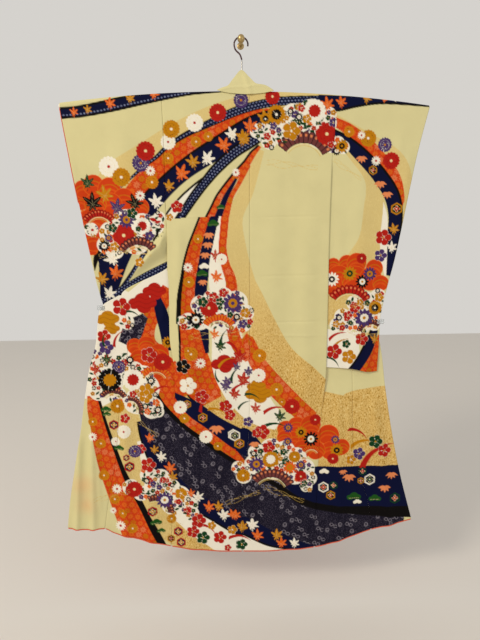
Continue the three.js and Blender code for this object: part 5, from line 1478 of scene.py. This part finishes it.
GRIDS["collar_back_outer"] = ("C", collar_grid(WRAP + 2.0, 4.6, 2.2, True))
GRIDS["collar_back_inner"] = ("-", collar_grid(-(WRAP + 0.4), -2.35, 0.0, False))
GRIDS["collar_left"] = ("-", band_grid([(-82, -172), (-140, -450), (-196, -690), (-262, -786), (-452, -893)],
                                       "left")[:, ::-1])
GRIDS["collar_right"] = ("-", band_grid([(110, -174), (190, -420), (285, -640), (462, -962)],
                                        "right")[:, ::-1])

# ------------------------------------------------------------------ the cloth pieces
# Each panel: the lining on its other side, the cut of what shows (width, length and area, in metres) and
# what it hangs from.
CLOTH_PIECES = {
    "back_left": ("lining_body", (0.30, 1.70), 0.485, "hanger_bar"),
    "back_right": ("lining_body", (0.30, 1.70), 0.485, "hanger_bar"),
    "front_left": ("lining_body", (0.30, 1.70), 0.290, "hanger_bar"),
    "front_right": ("lining_body", (0.27, 1.70), 0.235, "hanger_bar"),
    "okumi_left": ("lining_body", (0.155, 0.90), 0.115, "front_left"),
    "okumi_right": ("lining_body", (0.155, 0.83), 0.110, "front_right"),
    "sleeve_left_outer": ("lining_sleeve", (0.34, 0.97), 0.275, "hanger_bar"),
    "sleeve_left_inner": ("lining_sleeve", (0.34, 0.97), 0.275, "hanger_bar"),
    "sleeve_right_outer": ("lining_sleeve", (0.34, 0.97), 0.253, "hanger_bar"),
    "sleeve_right_inner": ("lining_sleeve", (0.34, 0.97), 0.253, "hanger_bar"),
    "collar_back_outer": ("lining_body", (0.195, 0.085), 0.008, "hanger_bar"),
    "collar_back_inner": ("lining_body", (0.195, 0.085), 0.008, "hanger_bar"),
    "collar_left": ("lining_body", (0.055, 0.89), None, "front_left"),
    "collar_right": ("lining_body", (0.055, 0.89), None, "front_right"),
}
# A lining side keeps every fourth grid point, and every second one on the much folded pieces.
CLOSE_LINING = ("collar_back_outer", "okumi_left", "okumi_right", "front_left", "sleeve_left_outer")
ROLLS = {name: ["fuki_" + name] for name in CUTS if not name.startswith("sleeve")}
ROLLS["sleeve_left_outer"] = ["cuff_roll_left"]
ROLL_SIDES = 10
# Half thickness and half height of the hem's roll, and how far it lies behind the face and below the edge.
HEM_ROLL = dict(thick=1.5, tall=2.0, behind=0.8, below=2.6)
# Half width and half thickness of the cuff's roll, how far it lies outside the edge and behind the face, how
# far below the bar it starts, and where it ends.
CUFF_ROLL = dict(wide=1.5, thick=1.2, outside=1.8, behind=1.2, start=45, end=-533)


def stands_for(obj, node):
    """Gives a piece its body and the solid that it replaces."""
    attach(obj, "root")
    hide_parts(node)
    return obj


def roll_strip(name, centre, across, up, material):
    """A soft roll along a row of centre points: ellipses spanned by two fixed half axes, which shrink to a
    point at both ends along a quarter circle."""
    size = np.concatenate([[0, 0.6, 0.9], np.ones(len(centre) - 6), [0.9, 0.6, 0]])
    angle = np.linspace(0, 2 * np.pi, ROLL_SIDES, endpoint=False)
    ring = np.cos(angle)[:, None] * np.array(across) + np.sin(angle)[:, None] * np.array(up)
    return closed_rings(name, centre[:, None] + size[:, None, None] * ring[None], material)


DYED = dye_the_cloth(GRIDS)

for name, (zone, grid) in GRIDS.items():
    points, faces, face_count, kept = shell(grid, CLOTH, 2 if name in CLOSE_LINING else 4)
    obj = new_object("kimono_" + name, points, faces, [MATERIAL["crepe"], MATERIAL[CLOTH_PIECES[name][0]]])
    index = np.ones(len(obj.data.polygons), int)
    index[:face_count] = 0          # the rim is crepe too
    obj.data.polygons.foreach_set("material_index", index)
    put_dye(obj, name, grid.shape[:2], kept, points)
    stands_for(obj, name)

NEAR_HEM = -1760.0
for name, cut in CUTS.items():
    if name.startswith("sleeve"):
        continue
    # Each end of the hem: the panel's edge at the height that the hem has there.
    ends = [cut[side](cut["bottom"](cut[side](NEAR_HEM))) for side in ("left", "right")]
    x = np.linspace(ends[0] + 0.1, ends[1] - 0.1, 90)
    z = cut["bottom"](x)
    centre = np.stack([x, cut["out"](x, z) - HEM_ROLL["behind"], z - HEM_ROLL["below"]], axis=1)
    roll = roll_strip("kimono_fuki_" + name, centre, (0, HEM_ROLL["thick"], 0), (0, 0, HEM_ROLL["tall"]),
                      MATERIAL["lining_sleeve"])
    stands_for(roll, "fuki_" + name)

z = np.linspace(bar_axis(0) - CUFF_ROLL["start"], CUFF_ROLL["end"], 110)
x = EDGE["cuff_left"](z)
centre = np.stack([x - CUFF_ROLL["outside"], sleeve_out("left", x, z) - CUFF_ROLL["behind"], z], axis=1)
roll = roll_strip("kimono_cuff_roll_left", centre, (CUFF_ROLL["wide"], 0, 0), (0, CUFF_ROLL["thick"], 0),
                  MATERIAL["lining_sleeve"])
stands_for(roll, "cuff_roll_left")


# ------------------------------------------------------------------ hanger, wall hook and clips
def lathe(profile, sides, middle, axis):
    """Rings of points turned from a profile of (radius, height) about an axis through a middle point. The
    first and last profile points lie on the axis."""
    angle = np.linspace(0, 2 * np.pi, sides, endpoint=False)
    a, b = ((0, 2) if axis == 1 else (0, 1))
    rings = np.zeros((len(profile), sides, 3))
    for k, (radius, height) in enumerate(profile):
        rings[k, :, a] = radius * np.cos(angle)
        rings[k, :, b] = radius * np.sin(angle)
        rings[k, :, axis] = height
    return rings + np.array(middle, float)


BAR_ENDS, STEM_X, STEM_RADIUS = (-621, 652), 2, 2.0
# The hanger's hook: x and z of its middle, its bend and its wire's radius; the play over the neck; the neck.
HOOK_X, HOOK_Z, HOOK_BEND, HOOK_WIRE, HOOK_PLAY, NECK_ROD = 0.5, -6, 23.5, 2.75, 0.3, 3.5
# The wall hook's knob: radius, middle off the wall and in height, and how much taller than round it is.
KNOB_RADIUS, KNOB_OUT, KNOB_Z, KNOB_TALL = 12, 43.5, 5.5, 1.18

bar_x = np.linspace(*BAR_ENDS, 15)
bar = tube("hanger_bar_tube", np.stack([bar_x, np.full(15, BAR_OUT), bar_axis(bar_x)], axis=1), BAR_RADIUS,
           32, MATERIAL["hanger_plastic"])
stands_for(bar, "hanger_bar")
hub_profile = [(0, -159.4), (3.3, -159.4), (3.8, -158.6), (3.8, -141.2), (3.2, -140.0), (0, -140.0)]
hub = closed_rings("hanger_hub_socket", lathe(hub_profile, 32, (STEM_X, BAR_OUT, 0), 2),
                   MATERIAL["hanger_plastic"])
stands_for(hub, "hanger_hub")
stem = tube("hanger_stem_wire", [(STEM_X, BAR_OUT, -139.7), (STEM_X, BAR_OUT, -100), (3, BAR_OUT, -57)],
            STEM_RADIUS, 24, MATERIAL["bright_steel"], steps=24)
stands_for(stem, "hanger_stem")
turn = np.radians([-15, 10, 40, 70, 100, 130, 160, 185])
hook_path = ([(HOOK_X + HOOK_BEND * np.cos(a), BAR_OUT, HOOK_Z + HOOK_BEND * np.sin(a)) for a in turn]
             + [(-18, BAR_OUT, -24), (-4, BAR_OUT, -38), (3, BAR_OUT, -55.9)])
hook = tube("hanger_hook_dipped", hook_path, HOOK_WIRE, 24, MATERIAL["hook_coating"], steps=120)
stands_for(hook, "hanger_hook")

seat = HOOK_Z + HOOK_BEND - HOOK_WIRE - HOOK_PLAY - NECK_ROD
plate_profile = [(0, 0), (11.6, 0), (12, 0.4), (12, 2.3), (11.4, 2.9), (9.9, 3.6), (9.3, 4.2), (8.6, 4.5),
                 (0, 4.5)]
knob_profile = [(KNOB_RADIUS * np.sin(a), -KNOB_RADIUS * np.cos(a)) for a in np.linspace(0, np.pi, 21)]
knob_rings = lathe(knob_profile, 40, (0, KNOB_OUT, KNOB_Z), 1)
knob_rings[:, :, 2] = KNOB_Z + (knob_rings[:, :, 2] - KNOB_Z) * KNOB_TALL
hook_body = closed_rings("wall_hook_brass", lathe(plate_profile, 40, (0, 0, 0), 1), MATERIAL["brass"])
neck_path = [(0, 2, 0), (0, 12, 3.4), (0, 21, seat - 1.4), (0, BAR_OUT, seat), (0, 38, seat - 1)]
neck_rod = tube("neck", neck_path, NECK_ROD, 24, MATERIAL["brass"], steps=40, reference=(1.0, 0.0, 0.0))
knob = closed_rings("knob", knob_rings, MATERIAL["brass"])
join(hook_body, [neck_rod, knob])
stands_for(hook_body, "wall_hook")


def clip(name, x, z, toward, slot_in, slot_out):
    """A clear clip: its side profile, with its jaws closed on the cloth, pulled 16 mm up and bevelled."""
    profile = np.array([(12, slot_out), (12, slot_out + 2), (-14, slot_out + 2), (-14, 0), (-8, 0),
                        (-8, slot_in - 2), (12, slot_in - 2), (12, slot_in), (-3, slot_in), (-3, slot_out)],
                       float)
    profile[:, 0] = x + toward * profile[:, 0]
    n = len(profile)
    points = np.concatenate([np.column_stack([profile, np.full(n, z + h)]) for h in (-8.0, 8.0)])
    k = np.arange(n)
    sides = np.stack([k, (k + 1) % n, (k + 1) % n + n, k + n], axis=1)
    obj = new_object(name, points, [sides, list(k[::-1]), list(k + n)], MATERIAL["clear_plastic"],
                     smooth=False)
    face_outwards(obj)
    bevel = obj.modifiers.new("bevel", "BEVEL")
    bevel.width, bevel.segments, bevel.limit_method = 0.0004, 2, "ANGLE"
    return obj


stands_for(clip("clip_left_clear", -510, -897, 1, 7.85, 17.75), "clip_left")
stands_for(clip("clip_right_clear", 503.5, -962, -1, 15.7, 21.4), "clip_right")

# ------------------------------------------------------------------ floor, light and camera
FLOOR_Z = -2.069
CAMERA_PLACE, CAMERA_TURNS = (-0.0825, -1.750, -0.7494), (6.53, 2.32, 0.60)

scene = bpy.context.scene
bpy.ops.mesh.primitive_plane_add(size=14, location=(0, 0, FLOOR_Z))
floor = bpy.context.object
floor.name = "floor"
floor.data.materials.append(MATERIAL["floor"])

world = bpy.data.worlds.new("studio")
scene.world = world
world.use_nodes = True
world.node_tree.nodes["Background"].inputs["Color"].default_value = srgb("#D5D2CD")
world.node_tree.nodes["Background"].inputs["Strength"].default_value = 1.0
scene.view_settings.view_transform = "Standard"


def area_light(name, place, aim, size, power, colour):
    """A square light of a size in metres and a power in watts, turned from its place to its aim."""
    lamp = bpy.data.lights.new(name, "AREA")
    lamp.shape, lamp.size, lamp.size_y, lamp.energy = "RECTANGLE", size, size, power
    lamp.color = srgb(colour)[:3]
    obj = bpy.data.objects.new(name, lamp)
    obj.location = place
    obj.rotation_euler = (Vector(aim) - Vector(place)).to_track_quat("-Z", "Y").to_euler()
    scene.collection.objects.link(obj)


area_light("key", (-4.5, -4.1, 2.6), (0, 0, -0.9), 1.5, 240, "#FFF4E4")
area_light("fill", (2.2, -2.6, 0.2), (0, 0, -1.0), 2.0, 10, "#F4F6FF")

# The camera's turns are degrees down, to the right, and about its own axis.
pitch, yaw, roll_angle = np.radians(CAMERA_TURNS)
ahead = np.array([np.sin(yaw) * np.cos(pitch), np.cos(yaw) * np.cos(pitch), -np.sin(pitch)])
level = np.array([np.cos(yaw), -np.sin(yaw), 0.0])
upward = np.cross(level, ahead)
right = level * np.cos(roll_angle) - upward * np.sin(roll_angle)
upward = upward * np.cos(roll_angle) + level * np.sin(roll_angle)
camera = bpy.data.objects.new("camera", bpy.data.cameras.new("camera"))
scene.collection.objects.link(camera)
camera.matrix_world = Matrix([[right[i], upward[i], -ahead[i], CAMERA_PLACE[i]] for i in range(3)]
                             + [[0, 0, 0, 1]])
camera.data.sensor_width, camera.data.lens = 36.0, 27.0
scene.camera = camera

# ------------------------------------------------------------------ the scene brought up to date
bpy.context.view_layer.update()
